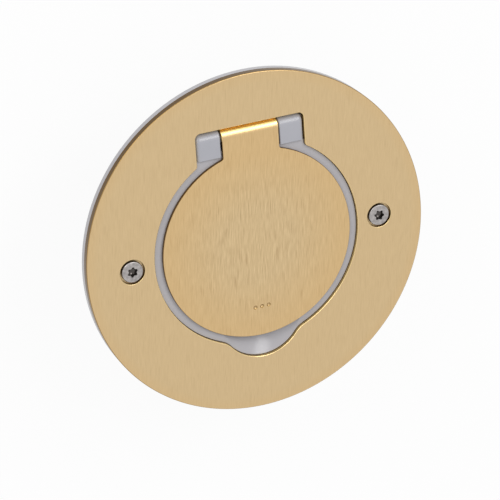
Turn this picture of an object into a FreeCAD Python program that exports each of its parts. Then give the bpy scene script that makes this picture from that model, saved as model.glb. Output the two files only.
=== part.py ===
import FreeCAD, Part
import os
import Sketcher
from math import cos, pi, radians, sin, sqrt

# Round flush floor box: a hinged lid in a brass cover plate, a moulded frame, a two-pole socket
# with side earth contacts and a moulded cup that is cast into the floor. Millimetres, +Z up.
# The origin is the centre of the box's flat base, the hinge lies towards +Y and the finger
# notch towards -Y.

doc = FreeCAD.newDocument("floor_box")
sheet = doc.addObject("Spreadsheet::Sheet", "Dims")

DIMENSIONS = [
    # cover plate
    ("plate_border", 25.6),
    ("plate_thickness", 2.6),
    ("plate_edge_round", 0.4),
    ("opening_gap", 3.1),
    ("window_margin", 0.1),
    ("window_corner_round", 2.0),
    ("window_blend", 1.5),
    ("notch_inset", 10.6),
    ("notch_radius", 16.0),
    ("notch_blend", 9.0),
    # cover screws, their seals and inserts
    ("screw_inset", 8.6),
    ("screw_radius", 1.95),
    ("screw_length", 16.0),
    ("screw_hole_radius", 2.25),
    ("head_radius", 4.0),
    ("head_height", 1.75),
    ("head_round", 0.55),
    ("head_pocket_radius", 4.7),
    ("head_pocket_depth", 1.6),
    ("drive_radius", 2.0),
    ("drive_lobe_radius", 0.45),
    ("drive_depth", 1.2),
    ("screw_seal_radius", 3.7),
    ("screw_seal_thickness", 1.0),
    ("insert_radius", 2.8),
    ("insert_length", 10.0),
    ("insert_bore_radius", 2.0),
    ("screw_tip_room", 2.0),
    # support frame
    ("flange_thickness", 2.3),
    ("ring_drop", 1.35),
    ("ring_gap", 0.15),
    ("seat_width", 4.6),
    ("seat_drop", 6.2),
    ("collar_ledge", 5.2),
    ("step_drop", 8.4),
    ("collar_drop", 20.0),
    ("collar_wall", 2.2),
    ("shoulder_thickness", 2.2),
    ("shoulder_gap", 3.1),
    ("step_border", 3.0),
    ("scoop_depth", 4.75),
    ("scoop_land", 0.25),
    # hinge
    ("tongue_length", 6.1),
    ("barrel_radius", 3.5),
    ("barrel_gap", 0.2),
    ("tongue_half_width", 10.8),
    ("tongue_gap", 0.35),
    ("barrel_wrap_degrees", 300.0),
    ("pin_radius", 1.25),
    ("pin_inset", 1.05),
    ("pin_clearance", 0.05),
    ("cap_drop", 0.35),
    ("cap_depth", 6.8),
    ("cap_width", 9.25),
    ("cap_gap", 0.15),
    ("cap_outer_round", 1.7),
    ("cap_inner_round", 0.6),
    ("cap_screw_radius", 1.1),
    ("cap_screw_head_radius", 2.1),
    ("cap_screw_head_height", 1.3),
    ("cap_screw_bite", 1.9),
    ("cap_screw_edge", 0.4),
    ("bush_length", 4.0),
    ("spring_wire_radius", 0.28),
    ("spring_turns", 6.0),
    ("spring_end_gap", 0.4),
    ("hinge_boss_wall", 1.4),
    # lid
    ("lid_overlap", 1.7),
    ("lid_thickness", 1.2),
    ("lid_edge_round", 0.25),
    ("tongue_blend", 1.0),
    ("stud_radius", 1.5),
    ("stud_length", 3.4),
    ("stud_inset", 10.9),
    ("backing_gap", 0.7),
    ("backing_thickness", 1.6),
    ("backing_rim_drop", 4.8),
    ("seal_groove_width", 2.9),
    ("seal_groove_wall", 1.9),
    ("rib_thickness", 1.2),
    ("rib_height", 1.2),
    ("hub_radius", 5.0),
    ("lid_seal_gap", 0.2),
    ("nut_radius", 3.2),
    ("nut_thickness", 1.1),
    ("nut_room", 0.4),
    ("stud_clearance", 0.1),
    # floor seal and flush box
    ("floor_seal_thickness", 1.0),
    ("floor_seal_inset", 4.5),
    ("floor_seal_gap", 0.3),
    ("mouth_gap", 0.6),
    ("mouth_wall", 2.2),
    ("box_rim_margin", 3.3),
    ("box_rim_thickness", 2.4),
    ("wire_room", 5.6),
    ("cup_gap", 0.4),
    ("cup_wall", 2.2),
    ("cup_floor", 2.5),
    ("cup_foot_chamfer", 0.8),
    ("ear_radius", 4.7),
    ("ear_drop", 20.0),
    ("gusset_thickness", 1.8),
    ("gusset_depth", 13.0),
    ("gusset_inset", 2.0),
    ("gusset_toe", 1.0),
    ("conduit_radius", 10.1),
    ("conduit_socket_length", 14.0),
    ("conduit_wall", 2.2),
    ("conduit_bore_radius", 8.6),
    ("conduit_height", 13.5),
    ("conduit_reach", 16.2),
    ("knockout_radius", 10.1),
    ("knockout_groove", 0.9),
    ("knockout_skin", 0.9),
    ("fixing_inset", 7.1),
    ("fixing_hole_radius", 2.25),
    # socket mechanism
    ("socket_rim_gap", 0.6),
    ("socket_rim_thickness", 2.0),
    ("socket_rim_clearance", 0.2),
    ("plug_recess_radius", 19.75),
    ("plug_recess_depth", 17.5),
    ("socket_wall", 1.65),
    ("socket_floor", 2.2),
    ("contact_pitch", 19.0),
    ("contact_hole_radius", 2.6),
    ("earth_slot_half_width", 3.4),
    ("earth_slot_foot", 4.0),
    ("earth_slot_head", 1.0),
    ("socket_screw_inset", 2.9),
    ("socket_screw_radius", 1.15),
    ("socket_screw_clearance", 0.3),
    ("socket_screw_length", 7.5),
    ("socket_screw_head_radius", 2.4),
    ("socket_screw_head_height", 1.2),
    ("socket_boss_radius", 2.6),
    ("socket_boss_height", 4.0),
    ("head_clearance", 0.2),
    ("head_sink", 0.1),
    ("base_depth", 16.5),
    ("base_cover_thickness", 1.2),
    ("base_room", 2.3),
    ("shutter_cavity_radius", 15.2),
    ("shutter_cavity_depth", 3.2),
    ("shutter_radius", 14.9),
    ("shutter_thickness", 1.6),
    ("shutter_turn_degrees", 36.0),
    ("shutter_gap", 0.15),
    ("pin_window_clearance", 0.2),
    ("pivot_radius", 1.6),
    ("pivot_depth", 1.0),
    ("pivot_seat_depth", 1.2),
    ("shutter_wire_radius", 0.2),
    ("shutter_spring_room", 1.2),
    ("shutter_spring_turns", 2.0),
    ("contact_bore_radius", 2.35),
    ("contact_wall", 0.55),
    ("contact_length", 10.0),
    ("contact_slit", 0.8),
    ("contact_root", 1.5),
    ("contact_clearance", 0.25),
    ("strip_thickness", 0.8),
    ("strip_half_width", 2.6),
    ("strip_seat", 1.2),
    ("terminal_gap", 0.4),
    ("terminal_width", 8.0),
    ("terminal_depth", 6.6),
    ("terminal_height", 8.0),
    ("wire_hole_radius", 1.7),
    ("terminal_screw_radius", 1.4),
    ("terminal_head_radius", 2.3),
    ("terminal_head_height", 1.6),
    ("earth_thickness", 0.8),
    ("earth_half_width", 2.9),
    ("earth_gap", 0.15),
    ("earth_knee", 7.0),
    ("earth_finger_rise", 2.5),
    ("earth_reach", 1.4),
    ("earth_bend", 0.3),
    ("base_screw_radius", 1.1),
    ("base_screw_offset", 14.0),
    ("base_screw_length", 6.0),
    ("base_screw_clearance", 0.15),
    ("base_screw_head_radius", 1.9),
    ("base_screw_head_height", 1.0),
    # clearances and margins that many pieces share
    ("touch_gap", 0.02),
    ("slip_gap", 0.05),
    ("pilot_spare", 0.2),
    ("slot_width", 0.6),
    ("cut_margin", 1.0),
]


def fill_sheet():
    """Write each driving dimension into its own row and give its cell the alias."""
    for row, (alias, value) in enumerate(DIMENSIONS, start=1):
        sheet.set("A%d" % row, alias)
        sheet.set("B%d" % row, str(value))
        sheet.setAlias("B%d" % row, alias)
    doc.recompute()


fill_sheet()


def dim(alias):
    """The number in the sheet cell with this alias."""
    return float(sheet.get(alias))


def number(expression):
    """The value that an expression on the sheet has now."""
    value = sheet.evalExpression(str(expression))
    return float(getattr(value, "Value", value))


def bind(item, prop, expression):
    """Tie a property to an expression on the sheet."""
    item.setExpression(prop, str(expression))


def total(*terms):
    """An expression that adds its terms."""
    return "(" + " + ".join(str(term) for term in terms) + ")"


def less(first, *terms):
    """An expression that takes the later terms from the first."""
    return "(" + " - ".join([str(first)] + [str(term) for term in terms]) + ")"


def named(alias):
    """The expression for one cell of the sheet."""
    return "Dims." + alias


# The depths of floor, room, socket and seat add up to the whole height.
TOP = total(named("cup_floor"), named("base_room"), named("base_cover_thickness"),
            named("base_depth"), named("socket_floor"), named("plug_recess_depth"),
            named("socket_rim_gap"), named("seat_drop"))

# Heights that several pieces share, each worked out from the driving dimensions.
LID_UNDER = less(TOP, named("lid_thickness"))
PLATE_UNDER = less(TOP, named("plate_thickness"))
RING_TOP = less(TOP, named("ring_drop"))
FLANGE_UNDER = less(PLATE_UNDER, named("flange_thickness"))
FLOOR_LEVEL = less(FLANGE_UNDER, named("floor_seal_thickness"))
RIM_UNDER = less(FLOOR_LEVEL, named("box_rim_thickness"))
SEAT = less(TOP, named("seat_drop"))
STEP_UNDER = less(TOP, named("step_drop"))
COLLAR_END = less(TOP, named("collar_drop"))
SOCKET_TOP = less(SEAT, named("socket_rim_gap"))
SHOULDER = less(SOCKET_TOP, named("socket_rim_thickness"))
SHOULDER_UNDER = less(SHOULDER, named("shoulder_thickness"))
RECESS_FLOOR = less(SOCKET_TOP, named("plug_recess_depth"))
FACE_UNDER = less(RECESS_FLOOR, named("socket_floor"))
BASE_UNDER = less(FACE_UNDER, named("base_depth"))
BASE_COVER_UNDER = less(BASE_UNDER, named("base_cover_thickness"))
CAVITY_FLOOR = less(FACE_UNDER, named("shutter_cavity_depth"))
STRIP_UNDER = total(BASE_UNDER, named("strip_seat"))
CONTACT_FOOT = total(STRIP_UNDER, named("strip_thickness"))
HINGE_HEIGHT = less(TOP, named("barrel_radius"))
HEAD_SEAT = less(TOP, named("head_pocket_depth"))

# Radii from the middle outwards: socket, cup, collar, well, seat, lid, opening and plate.
SOCKET_OUTER = total(named("plug_recess_radius"), named("socket_wall"))
TERMINAL_START = total(SOCKET_OUTER, named("terminal_gap"))
CUP_RADIUS = total(TERMINAL_START, named("terminal_depth"), named("terminal_head_height"),
                   named("wire_room"))
CUP_OUTER = total(CUP_RADIUS, named("cup_wall"))
COLLAR_RADIUS = less(CUP_RADIUS, named("cup_gap"))
COLLAR_INNER = less(COLLAR_RADIUS, named("collar_wall"))
WELL_RADIUS = less(COLLAR_RADIUS, named("collar_ledge"))
SHOULDER_OPENING = total(SOCKET_OUTER, named("shoulder_gap"))
RECESS_RADIUS = total(WELL_RADIUS, named("seat_width"))
LID_RADIUS = total(RECESS_RADIUS, named("lid_overlap"))
OPENING_RADIUS = total(LID_RADIUS, named("opening_gap"))
PLATE_RADIUS = total(OPENING_RADIUS, named("plate_border"))
RING_RADIUS = less(OPENING_RADIUS, named("ring_gap"))
STEP_RADIUS = total(OPENING_RADIUS, named("step_border"))
MOUTH_RADIUS = total(STEP_RADIUS, named("mouth_gap"))
MOUTH_FLOOR = less(STEP_UNDER, named("mouth_gap"))
SCREW_X = total(OPENING_RADIUS, named("screw_inset"))
BOX_RIM_RADIUS = total(SCREW_X, named("ear_radius"), named("box_rim_margin"))
CONDUIT_MOUTH = total(CUP_OUTER, named("conduit_reach"))
NOTCH_OFFSET = less(OPENING_RADIUS, named("notch_inset"))
NOTCH_BOSS_RADIUS = less(named("notch_radius"), named("ring_gap"))

# Places of the hinge, its barrel and its caps.
HINGE_Y = total(LID_RADIUS, named("tongue_length"))
CAP_FRONT = less(HINGE_Y, named("cap_depth"))
CAP_RADIUS = less(named("barrel_radius"), named("cap_drop"))
CAP_TOP = less(TOP, named("cap_drop"))
TROUGH_RADIUS = total(named("barrel_radius"), named("barrel_gap"))
TROUGH_HALF_WIDTH = total(named("tongue_half_width"), named("tongue_gap"))
CAP_INNER = total(TROUGH_HALF_WIDTH, named("cap_gap"))
BOSS_HALF_WIDTH = total(CAP_INNER, named("cap_width"))
WINDOW_HALF_WIDTH = total(BOSS_HALF_WIDTH, named("ring_gap"))
WINDOW_END = total(HINGE_Y, TROUGH_RADIUS, named("window_margin"))
PIN_HALF = less(BOSS_HALF_WIDTH, named("pin_inset"))
PIN_GROOVE_HALF = total(PIN_HALF, named("pin_clearance"))
PIN_BORE = total(named("pin_radius"), named("pin_clearance"))
BARREL_INNER = less(named("barrel_radius"), named("lid_thickness"))
HINGE_BOSS_END = total(HINGE_Y, TROUGH_RADIUS, named("hinge_boss_wall"))
HINGE_BOSS_HALF = total(BOSS_HALF_WIDTH, named("hinge_boss_wall"))

# The lid's backing and the socket's inner places.
BACKING_RADIUS = less(RECESS_RADIUS, named("backing_gap"))
BACKING_UNDER = less(LID_UNDER, named("backing_thickness"))
SEAL_GROOVE_OUTER = less(BACKING_RADIUS, named("seal_groove_wall"))
SEAL_GROOVE_INNER = less(SEAL_GROOVE_OUTER, named("seal_groove_width"))
STUD_CIRCLE = less(BACKING_RADIUS, named("stud_inset"))
HALF_PITCH = "(Dims.contact_pitch / 2)"
EARTH_INNER = total(SOCKET_OUTER, named("earth_gap"))
EARTH_FACE = total(EARTH_INNER, named("earth_thickness"))
EARTH_TOP = less(BASE_COVER_UNDER, named("touch_gap"))

# How far a cut runs past the face that it opens.
PAST = named("cut_margin")


def new_body(label):
    """A body whose label names its file."""
    body = doc.addObject("PartDesign::Body", label)
    body.Label = label
    return body


def plane_of(body, role):
    """One of the body's own origin planes."""
    return [part for part in body.Origin.OriginFeatures if part.Role == role][0]


def new_sketch(body, label, role, offset=None):
    """A sketch on an origin plane, lifted along the plane's normal by an expression."""
    sketch = body.newObject("Sketcher::SketchObject", label)
    sketch.AttachmentSupport = [(plane_of(body, role), "")]
    sketch.MapMode = "FlatFace"
    if offset is not None:
        bind(sketch, ".AttachmentOffset.Base.z", offset)
    return sketch


def fix_point(sketch, edge, end, along, up):
    """Hold one end of an edge at two signed distances from the sketch's origin."""
    for kind, axis, expression in (("DistanceX", "along", along), ("DistanceY", "up", up)):
        if expression is None:
            continue
        index = sketch.addConstraint(Sketcher.Constraint(kind, edge, end, number(expression)))
        name = "%s_%d_%d" % (axis, edge, end)
        sketch.renameConstraint(index, name)
        bind(sketch, "Constraints." + name, expression)


def add_polygon(sketch, corners):
    """A closed outline of straight edges, each corner held by two expressions."""
    first = sketch.GeometryCount
    places = [FreeCAD.Vector(number(along), number(up), 0) for along, up in corners]
    count = len(corners)
    for index in range(count):
        sketch.addGeometry(Part.LineSegment(places[index], places[(index + 1) % count]))
    for index in range(count):
        following = first + (index + 1) % count
        sketch.addConstraint(Sketcher.Constraint("Coincident", first + index, 2, following, 1))
    for index, (along, up) in enumerate(corners):
        fix_point(sketch, first + index, 1, along, up)


def add_circle(sketch, along, up, radius):
    """A circle whose centre and radius are expressions."""
    centre = FreeCAD.Vector(number(along), number(up), 0)
    edge = sketch.addGeometry(Part.Circle(centre, FreeCAD.Vector(0, 0, 1), number(radius)))
    fix_point(sketch, edge, 3, along, up)
    index = sketch.addConstraint(Sketcher.Constraint("Radius", edge, number(radius)))
    name = "radius_%d" % edge
    sketch.renameConstraint(index, name)
    bind(sketch, "Constraints." + name, radius)


def rectangle_corners(low_x, low_y, high_x, high_y):
    """The four corners of an upright rectangle."""
    return [(low_x, low_y), (high_x, low_y), (high_x, high_y), (low_x, high_y)]


def revolve(body, label, corners, cut=False):
    """Turn an outline of (radius, height) corners about Z, to add or to cut."""
    sketch = new_sketch(body, label + "_profile", "XZ_Plane")
    add_polygon(sketch, corners)
    kind = "PartDesign::Groove" if cut else "PartDesign::Revolution"
    feature = body.newObject(kind, label)
    feature.Profile = sketch
    feature.ReferenceAxis = (sketch, ["V_Axis"])
    feature.Angle = 360
    doc.recompute()
    return feature


def extrude(body, label, sketch, length, down=False, midplane=False, cut=False):
    """Pad or pocket a sketch by an expression, along its normal or against it."""
    feature = body.newObject("PartDesign::Pocket" if cut else "PartDesign::Pad", label)
    feature.Profile = sketch
    bind(feature, "Length", length)
    feature.Midplane = midplane
    # a pocket runs against the sketch's normal unless it is reversed
    feature.Reversed = (not down) if cut else down
    doc.recompute()
    return feature


def block_feature(body, label, corners, low, high, cut=False):
    """Add or cut an upright prism over a plan outline between two heights."""
    sketch = new_sketch(body, label + "_plan", "XY_Plane", low)
    add_polygon(sketch, corners)
    return extrude(body, label, sketch, less(high, low), cut=cut)


def round_feature(body, label, places, radius, low, high, cut=False):
    """Add or cut upright cylinders at (x, y) places between two heights."""
    sketch = new_sketch(body, label + "_plan", "XY_Plane", low)
    for along, up in places:
        add_circle(sketch, along, up, radius)
    return extrude(body, label, sketch, less(high, low), cut=cut)


def side_feature(body, label, draw, half_length, cut=False):
    """Add or cut a prism along X, drawn in (y, z) and even about the middle plane."""
    sketch = new_sketch(body, label + "_side", "YZ_Plane")
    draw(sketch)
    return extrude(body, label, sketch, "2 * " + half_length, midplane=True, cut=cut)


def edges_where(feature, test):
    """Names of the feature's edges whose two ends and middle pass the test."""
    names = []
    for index, edge in enumerate(feature.Shape.Edges, start=1):
        middle = edge.valueAt((edge.FirstParameter + edge.LastParameter) / 2)
        places = [vertex.Point for vertex in edge.Vertexes] + [middle]
        if test(edge, places):
            names.append("Edge%d" % index)
    return names


def fillet(body, label, feature, names, radius):
    """Round the named edges of a feature by an expression."""
    rounding = body.newObject("PartDesign::Fillet", label)
    rounding.Base = (feature, names)
    rounding.Radius = number(radius)
    bind(rounding, "Radius", radius)
    doc.recompute()
    return rounding


def upright_at(spots, tolerance=0.05):
    """A test for upright straight edges that stand at one of the (x, y) spots."""
    def test(edge, places):
        if max(abs(place.x - places[0].x) + abs(place.y - places[0].y) for place in places) > 1e-4:
            return False
        return any(abs(places[0].x - x) < tolerance and abs(places[0].y - y) < tolerance
                   for x, y in spots)
    return test


def level_at(height, tolerance=1e-3):
    """A test for edges that lie flat at a height."""
    def test(edge, places):
        return all(abs(place.z - height) < tolerance for place in places)
    return test


def notch_corners(opening, notch, offset):
    """Where the round opening meets the finger notch's circle."""
    y = -(opening ** 2 + offset ** 2 - notch ** 2) / (2 * offset)
    x = sqrt(opening ** 2 - y ** 2)
    return [(-x, y), (x, y)]


def window_corners(opening, half_width):
    """Where the round opening meets the sides of the hinge window."""
    y = sqrt(opening ** 2 - half_width ** 2)
    return [(-half_width, y), (half_width, y)]


def cover_plate():
    """The brass plate: a disc with one opening for lid, hinge window and finger notch."""
    body = new_body("cover_plate")
    round_feature(body, "disc", [("0", "0")], PLATE_RADIUS, PLATE_UNDER, TOP)
    round_feature(body, "opening", [("0", "0")], OPENING_RADIUS, PLATE_UNDER, TOP, cut=True)
    half = WINDOW_HALF_WIDTH
    corners = rectangle_corners("-" + half, "0", half, WINDOW_END)
    block_feature(body, "window", corners, PLATE_UNDER, TOP, cut=True)
    place = [("0", "-" + NOTCH_OFFSET)]
    cut = round_feature(body, "notch", place, named("notch_radius"), PLATE_UNDER, TOP, cut=True)
    spots = notch_corners(number(OPENING_RADIUS), dim("notch_radius"), number(NOTCH_OFFSET))
    names = edges_where(cut, upright_at(spots))
    blend = fillet(body, "notch_blends", cut, names, named("notch_blend"))
    spots = window_corners(number(OPENING_RADIUS), number(WINDOW_HALF_WIDTH))
    names = edges_where(blend, upright_at(spots))
    blend = fillet(body, "window_blends", blend, names, named("window_blend"))
    spots = [(side * number(WINDOW_HALF_WIDTH), number(WINDOW_END)) for side in (-1, 1)]
    names = edges_where(blend, upright_at(spots))
    blend = fillet(body, "window_corners", blend, names, named("window_corner_round"))
    names = edges_where(blend, level_at(number(TOP)))
    fillet(body, "top_edges", blend, names, named("plate_edge_round"))
    places = [("-" + SCREW_X, "0"), (SCREW_X, "0")]
    round_feature(body, "head_pockets", places, named("head_pocket_radius"), HEAD_SEAT, TOP, cut=True)
    radius = named("screw_hole_radius")
    round_feature(body, "screw_holes", places, radius, PLATE_UNDER, HEAD_SEAT, cut=True)
    return body


def draw_trough(sketch):
    """A slot with a round floor about the hinge axis, open at the top."""
    centre = FreeCAD.Vector(number(HINGE_Y), number(HINGE_HEIGHT), 0)
    radius = number(TROUGH_RADIUS)
    low, high = less(HINGE_Y, TROUGH_RADIUS), total(HINGE_Y, TROUGH_RADIUS)
    corners = [FreeCAD.Vector(centre.x + radius, centre.y, 0),
               FreeCAD.Vector(centre.x + radius, number(TOP), 0),
               FreeCAD.Vector(centre.x - radius, number(TOP), 0),
               FreeCAD.Vector(centre.x - radius, centre.y, 0)]
    for start, end in zip(corners, corners[1:]):
        sketch.addGeometry(Part.LineSegment(start, end))
    circle = Part.Circle(centre, FreeCAD.Vector(0, 0, 1), radius)
    sketch.addGeometry(Part.ArcOfCircle(circle, pi, 2 * pi))
    for first, second in ((0, 1), (1, 2), (2, 3)):
        sketch.addConstraint(Sketcher.Constraint("Coincident", first, 2, second, 1))
    sketch.addConstraint(Sketcher.Constraint("Coincident", 3, 2, 0, 1))
    fix_point(sketch, 3, 3, HINGE_Y, HINGE_HEIGHT)
    fix_point(sketch, 0, 1, high, HINGE_HEIGHT)
    fix_point(sketch, 1, 1, high, TOP)
    fix_point(sketch, 2, 1, low, TOP)
    fix_point(sketch, 2, 2, None, HINGE_HEIGHT)


def frame_outline(body):
    """The frame's turned form, with the bosses for hinge, window and finger notch."""
    revolve(body, "moulding", [
        ("0", COLLAR_END), (COLLAR_RADIUS, COLLAR_END), (COLLAR_RADIUS, STEP_UNDER),
        (STEP_RADIUS, STEP_UNDER), (STEP_RADIUS, FLANGE_UNDER),
        (PLATE_RADIUS, FLANGE_UNDER), (PLATE_RADIUS, PLATE_UNDER),
        (RING_RADIUS, PLATE_UNDER), (RING_RADIUS, RING_TOP), ("0", RING_TOP)])
    corners = rectangle_corners("-" + HINGE_BOSS_HALF, "0", HINGE_BOSS_HALF, HINGE_BOSS_END)
    block_feature(body, "hinge_boss", corners, STEP_UNDER, PLATE_UNDER)
    corners = rectangle_corners("-" + BOSS_HALF_WIDTH, "0", BOSS_HALF_WIDTH, CAP_FRONT)
    boss = block_feature(body, "window_boss", corners, PLATE_UNDER, RING_TOP)
    place = [("0", "-" + NOTCH_OFFSET)]
    boss = round_feature(body, "notch_boss", place, NOTCH_BOSS_RADIUS, PLATE_UNDER, RING_TOP)
    spots = notch_corners(number(RING_RADIUS), number(NOTCH_BOSS_RADIUS), number(NOTCH_OFFSET))
    names = edges_where(boss, upright_at(spots))
    blend = fillet(body, "notch_blends", boss, names, total(named("notch_blend"), named("ring_gap")))
    spots = window_corners(number(RING_RADIUS), number(BOSS_HALF_WIDTH))
    names = edges_where(blend, upright_at(spots))
    fillet(body, "window_blends", blend, names, total(named("window_blend"), named("ring_gap")))


def frame_hollows(body):
    """The stepped well under the lid, and the scoop that lets a fingertip under its edge."""
    above, below = total(TOP, PAST), less(COLLAR_END, PAST)
    revolve(body, "well", [
        ("0", above), (RECESS_RADIUS, above), (RECESS_RADIUS, SEAT),
        (WELL_RADIUS, SEAT), (WELL_RADIUS, SHOULDER),
        (SHOULDER_OPENING, SHOULDER), (SHOULDER_OPENING, SHOULDER_UNDER),
        (COLLAR_INNER, SHOULDER_UNDER), (COLLAR_INNER, below), ("0", below)], cut=True)
    rim = less(NOTCH_BOSS_RADIUS, named("scoop_land"))
    depth = named("scoop_depth")
    radius = "((%s * %s + %s * %s) / (2 * %s))" % (rim, rim, depth, depth, depth)
    scoop = body.newObject("PartDesign::SubtractiveSphere", "scoop")
    bind(scoop, "Radius", radius)
    scoop.AttachmentSupport = [(plane_of(body, "XY_Plane"), "")]
    scoop.MapMode = "FlatFace"
    bind(scoop, ".AttachmentOffset.Base.y", "-" + NOTCH_OFFSET)
    bind(scoop, ".AttachmentOffset.Base.z", total(less(RING_TOP, depth), radius))
    doc.recompute()


def cut_pin_groove(body):
    """The round way for the hinge pin, half of it in the frame and half in the caps."""
    side_feature(body, "pin_groove",
                 lambda sketch: add_circle(sketch, HINGE_Y, HINGE_HEIGHT, PIN_BORE),
                 PIN_GROOVE_HALF, cut=True)


def frame_hinge_seat(body):
    """The trough that the barrel turns in, the seats of the caps and the pin's groove."""
    side_feature(body, "trough", draw_trough, TROUGH_HALF_WIDTH, cut=True)
    gap = named("cap_gap")
    front, back = less(CAP_FRONT, gap), total(HINGE_Y, CAP_RADIUS, gap)
    outer = total(BOSS_HALF_WIDTH, named("slip_gap"))
    for side, sign in (("left", "-"), ("right", "")):
        corners = rectangle_corners(sign + TROUGH_HALF_WIDTH, front, sign + outer, back)
        block_feature(body, side + "_cap_seat", corners, HINGE_HEIGHT, TOP, cut=True)
    cut_pin_groove(body)


def cap_screw_places():
    """Plan places of the screws that hold the hinge caps from below."""
    along = "((%s + %s) / 2)" % (TROUGH_HALF_WIDTH, BOSS_HALF_WIDTH)
    up = total(CAP_FRONT, named("cap_screw_head_radius"), named("cap_screw_edge"))
    return [("-" + along, up), (along, up)]


def socket_screw_places():
    """Plan places of the two screws that hold the socket in the well."""
    along = "(%s * sin(45))" % less(WELL_RADIUS, named("socket_screw_inset"))
    return [("-" + along, along), (along, "-" + along)]


def support_frame():
    """The grey frame: flange, raised ring, stepped well, hinge seat, scoop and screw bosses."""
    body = new_body("support_frame")
    frame_outline(body)
    frame_hollows(body)
    frame_hinge_seat(body)
    places = cap_screw_places()
    radius = total(named("cap_screw_radius"), named("pin_clearance"))
    round_feature(body, "cap_screw_holes", places, radius, STEP_UNDER, HINGE_HEIGHT, cut=True)
    radius = total(named("cap_screw_head_radius"), named("cap_gap"))
    high = total(STEP_UNDER, named("cap_screw_head_height"))
    round_feature(body, "cap_head_pockets", places, radius, STEP_UNDER, high, cut=True)
    places = [("-" + SCREW_X, "0"), (SCREW_X, "0")]
    low = less(PLATE_UNDER, named("screw_seal_thickness"))
    round_feature(body, "seal_pockets", places, named("screw_seal_radius"), low, PLATE_UNDER, cut=True)
    round_feature(body, "screw_holes", places, named("screw_hole_radius"), FLANGE_UNDER, low, cut=True)
    places = socket_screw_places()
    low = less(SHOULDER_UNDER, named("socket_boss_height"))
    round_feature(body, "socket_bosses", places, named("socket_boss_radius"), low, SHOULDER_UNDER)
    radius = named("socket_screw_radius")
    round_feature(body, "socket_pilots", places, radius, low, SHOULDER, cut=True)
    return body


def draw_cap(sketch):
    """A flat top that rolls down behind about the hinge axis, over a flat underside."""
    centre = FreeCAD.Vector(number(HINGE_Y), number(HINGE_HEIGHT), 0)
    radius, front, top = number(CAP_RADIUS), number(CAP_FRONT), number(CAP_TOP)
    corners = [FreeCAD.Vector(centre.x + radius, centre.y, 0), FreeCAD.Vector(front, centre.y, 0),
               FreeCAD.Vector(front, top, 0), FreeCAD.Vector(centre.x, top, 0)]
    corners.reverse()
    for start, end in zip(corners, corners[1:]):
        sketch.addGeometry(Part.LineSegment(start, end))
    circle = Part.Circle(centre, FreeCAD.Vector(0, 0, 1), radius)
    sketch.addGeometry(Part.ArcOfCircle(circle, 0, pi / 2))
    for first, second in ((0, 1), (1, 2), (2, 3)):
        sketch.addConstraint(Sketcher.Constraint("Coincident", first, 2, second, 1))
    sketch.addConstraint(Sketcher.Constraint("Coincident", 3, 2, 0, 1))
    fix_point(sketch, 3, 3, HINGE_Y, HINGE_HEIGHT)
    fix_point(sketch, 0, 1, HINGE_Y, CAP_TOP)
    fix_point(sketch, 1, 1, CAP_FRONT, CAP_TOP)
    fix_point(sketch, 2, 1, CAP_FRONT, HINGE_HEIGHT)
    fix_point(sketch, 2, 2, None, HINGE_HEIGHT)


def hinge_cap(side, sign):
    """The moulded cap over one end of the hinge pin, rounded over the hinge axis."""
    body = new_body(side + "_hinge_cap")
    sketch = new_sketch(body, "cap_side", "YZ_Plane", sign + CAP_INNER)
    draw_cap(sketch)
    width = less(BOSS_HALF_WIDTH, CAP_INNER)
    solid = extrude(body, "cap", sketch, width, down=bool(sign))
    direction = -1 if sign else 1
    floor = number(HINGE_HEIGHT)
    for label, edge_x, radius in (("outer_round", BOSS_HALF_WIDTH, named("cap_outer_round")),
                                  ("inner_round", CAP_INNER, named("cap_inner_round"))):
        at_x = direction * number(edge_x)
        names = edges_where(solid, lambda edge, places: all(
            abs(place.x - at_x) < 1e-3 for place in places)
            and max(place.z for place in places) > number(CAP_TOP) - 1e-3
            and min(place.y for place in places) > number(CAP_FRONT) - 1e-3
            and (min(place.z for place in places) > floor + 1e-3
                 or max(place.y for place in places) > number(CAP_FRONT) + 1e-3))
        solid = fillet(body, label, solid, names, radius)
    cut_pin_groove(body)
    place = [cap_screw_places()[0 if sign else 1]]
    high = total(HINGE_HEIGHT, named("cap_screw_bite"))
    round_feature(body, "pilot", place, named("cap_screw_radius"), HINGE_HEIGHT, high, cut=True)
    return body


def draw_barrel(sketch):
    """The rolled end of the lid's tongue: most of a ring about the hinge axis."""
    centre = FreeCAD.Vector(number(HINGE_Y), number(HINGE_HEIGHT), 0)
    outer, inner = dim("barrel_radius"), number(BARREL_INNER)
    start = radians(90 - dim("barrel_wrap_degrees"))
    for radius in (outer, inner):
        circle = Part.Circle(centre, FreeCAD.Vector(0, 0, 1), radius)
        sketch.addGeometry(Part.ArcOfCircle(circle, start, pi / 2))
    lip = FreeCAD.Vector(cos(start), sin(start), 0)
    sketch.addGeometry(Part.LineSegment(centre + lip * outer, centre + lip * inner))
    crown = FreeCAD.Vector(0, 1, 0)
    sketch.addGeometry(Part.LineSegment(centre + crown * inner, centre + crown * outer))
    for edge, end, other, other_end in ((0, 1, 2, 1), (2, 2, 1, 1), (1, 2, 3, 1), (3, 2, 0, 2)):
        sketch.addConstraint(Sketcher.Constraint("Coincident", edge, end, other, other_end))
    fix_point(sketch, 0, 3, HINGE_Y, HINGE_HEIGHT)
    sketch.addConstraint(Sketcher.Constraint("Coincident", 0, 3, 1, 3))
    fix_point(sketch, 3, 1, HINGE_Y, total(HINGE_HEIGHT, BARREL_INNER))
    fix_point(sketch, 3, 2, HINGE_Y, TOP)
    rise = "sin(90 - Dims.barrel_wrap_degrees)"
    fix_point(sketch, 2, 1, None, total(HINGE_HEIGHT, "Dims.barrel_radius * " + rise))
    fix_point(sketch, 2, 2, None, total(HINGE_HEIGHT, "%s * %s" % (BARREL_INNER, rise)))


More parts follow.
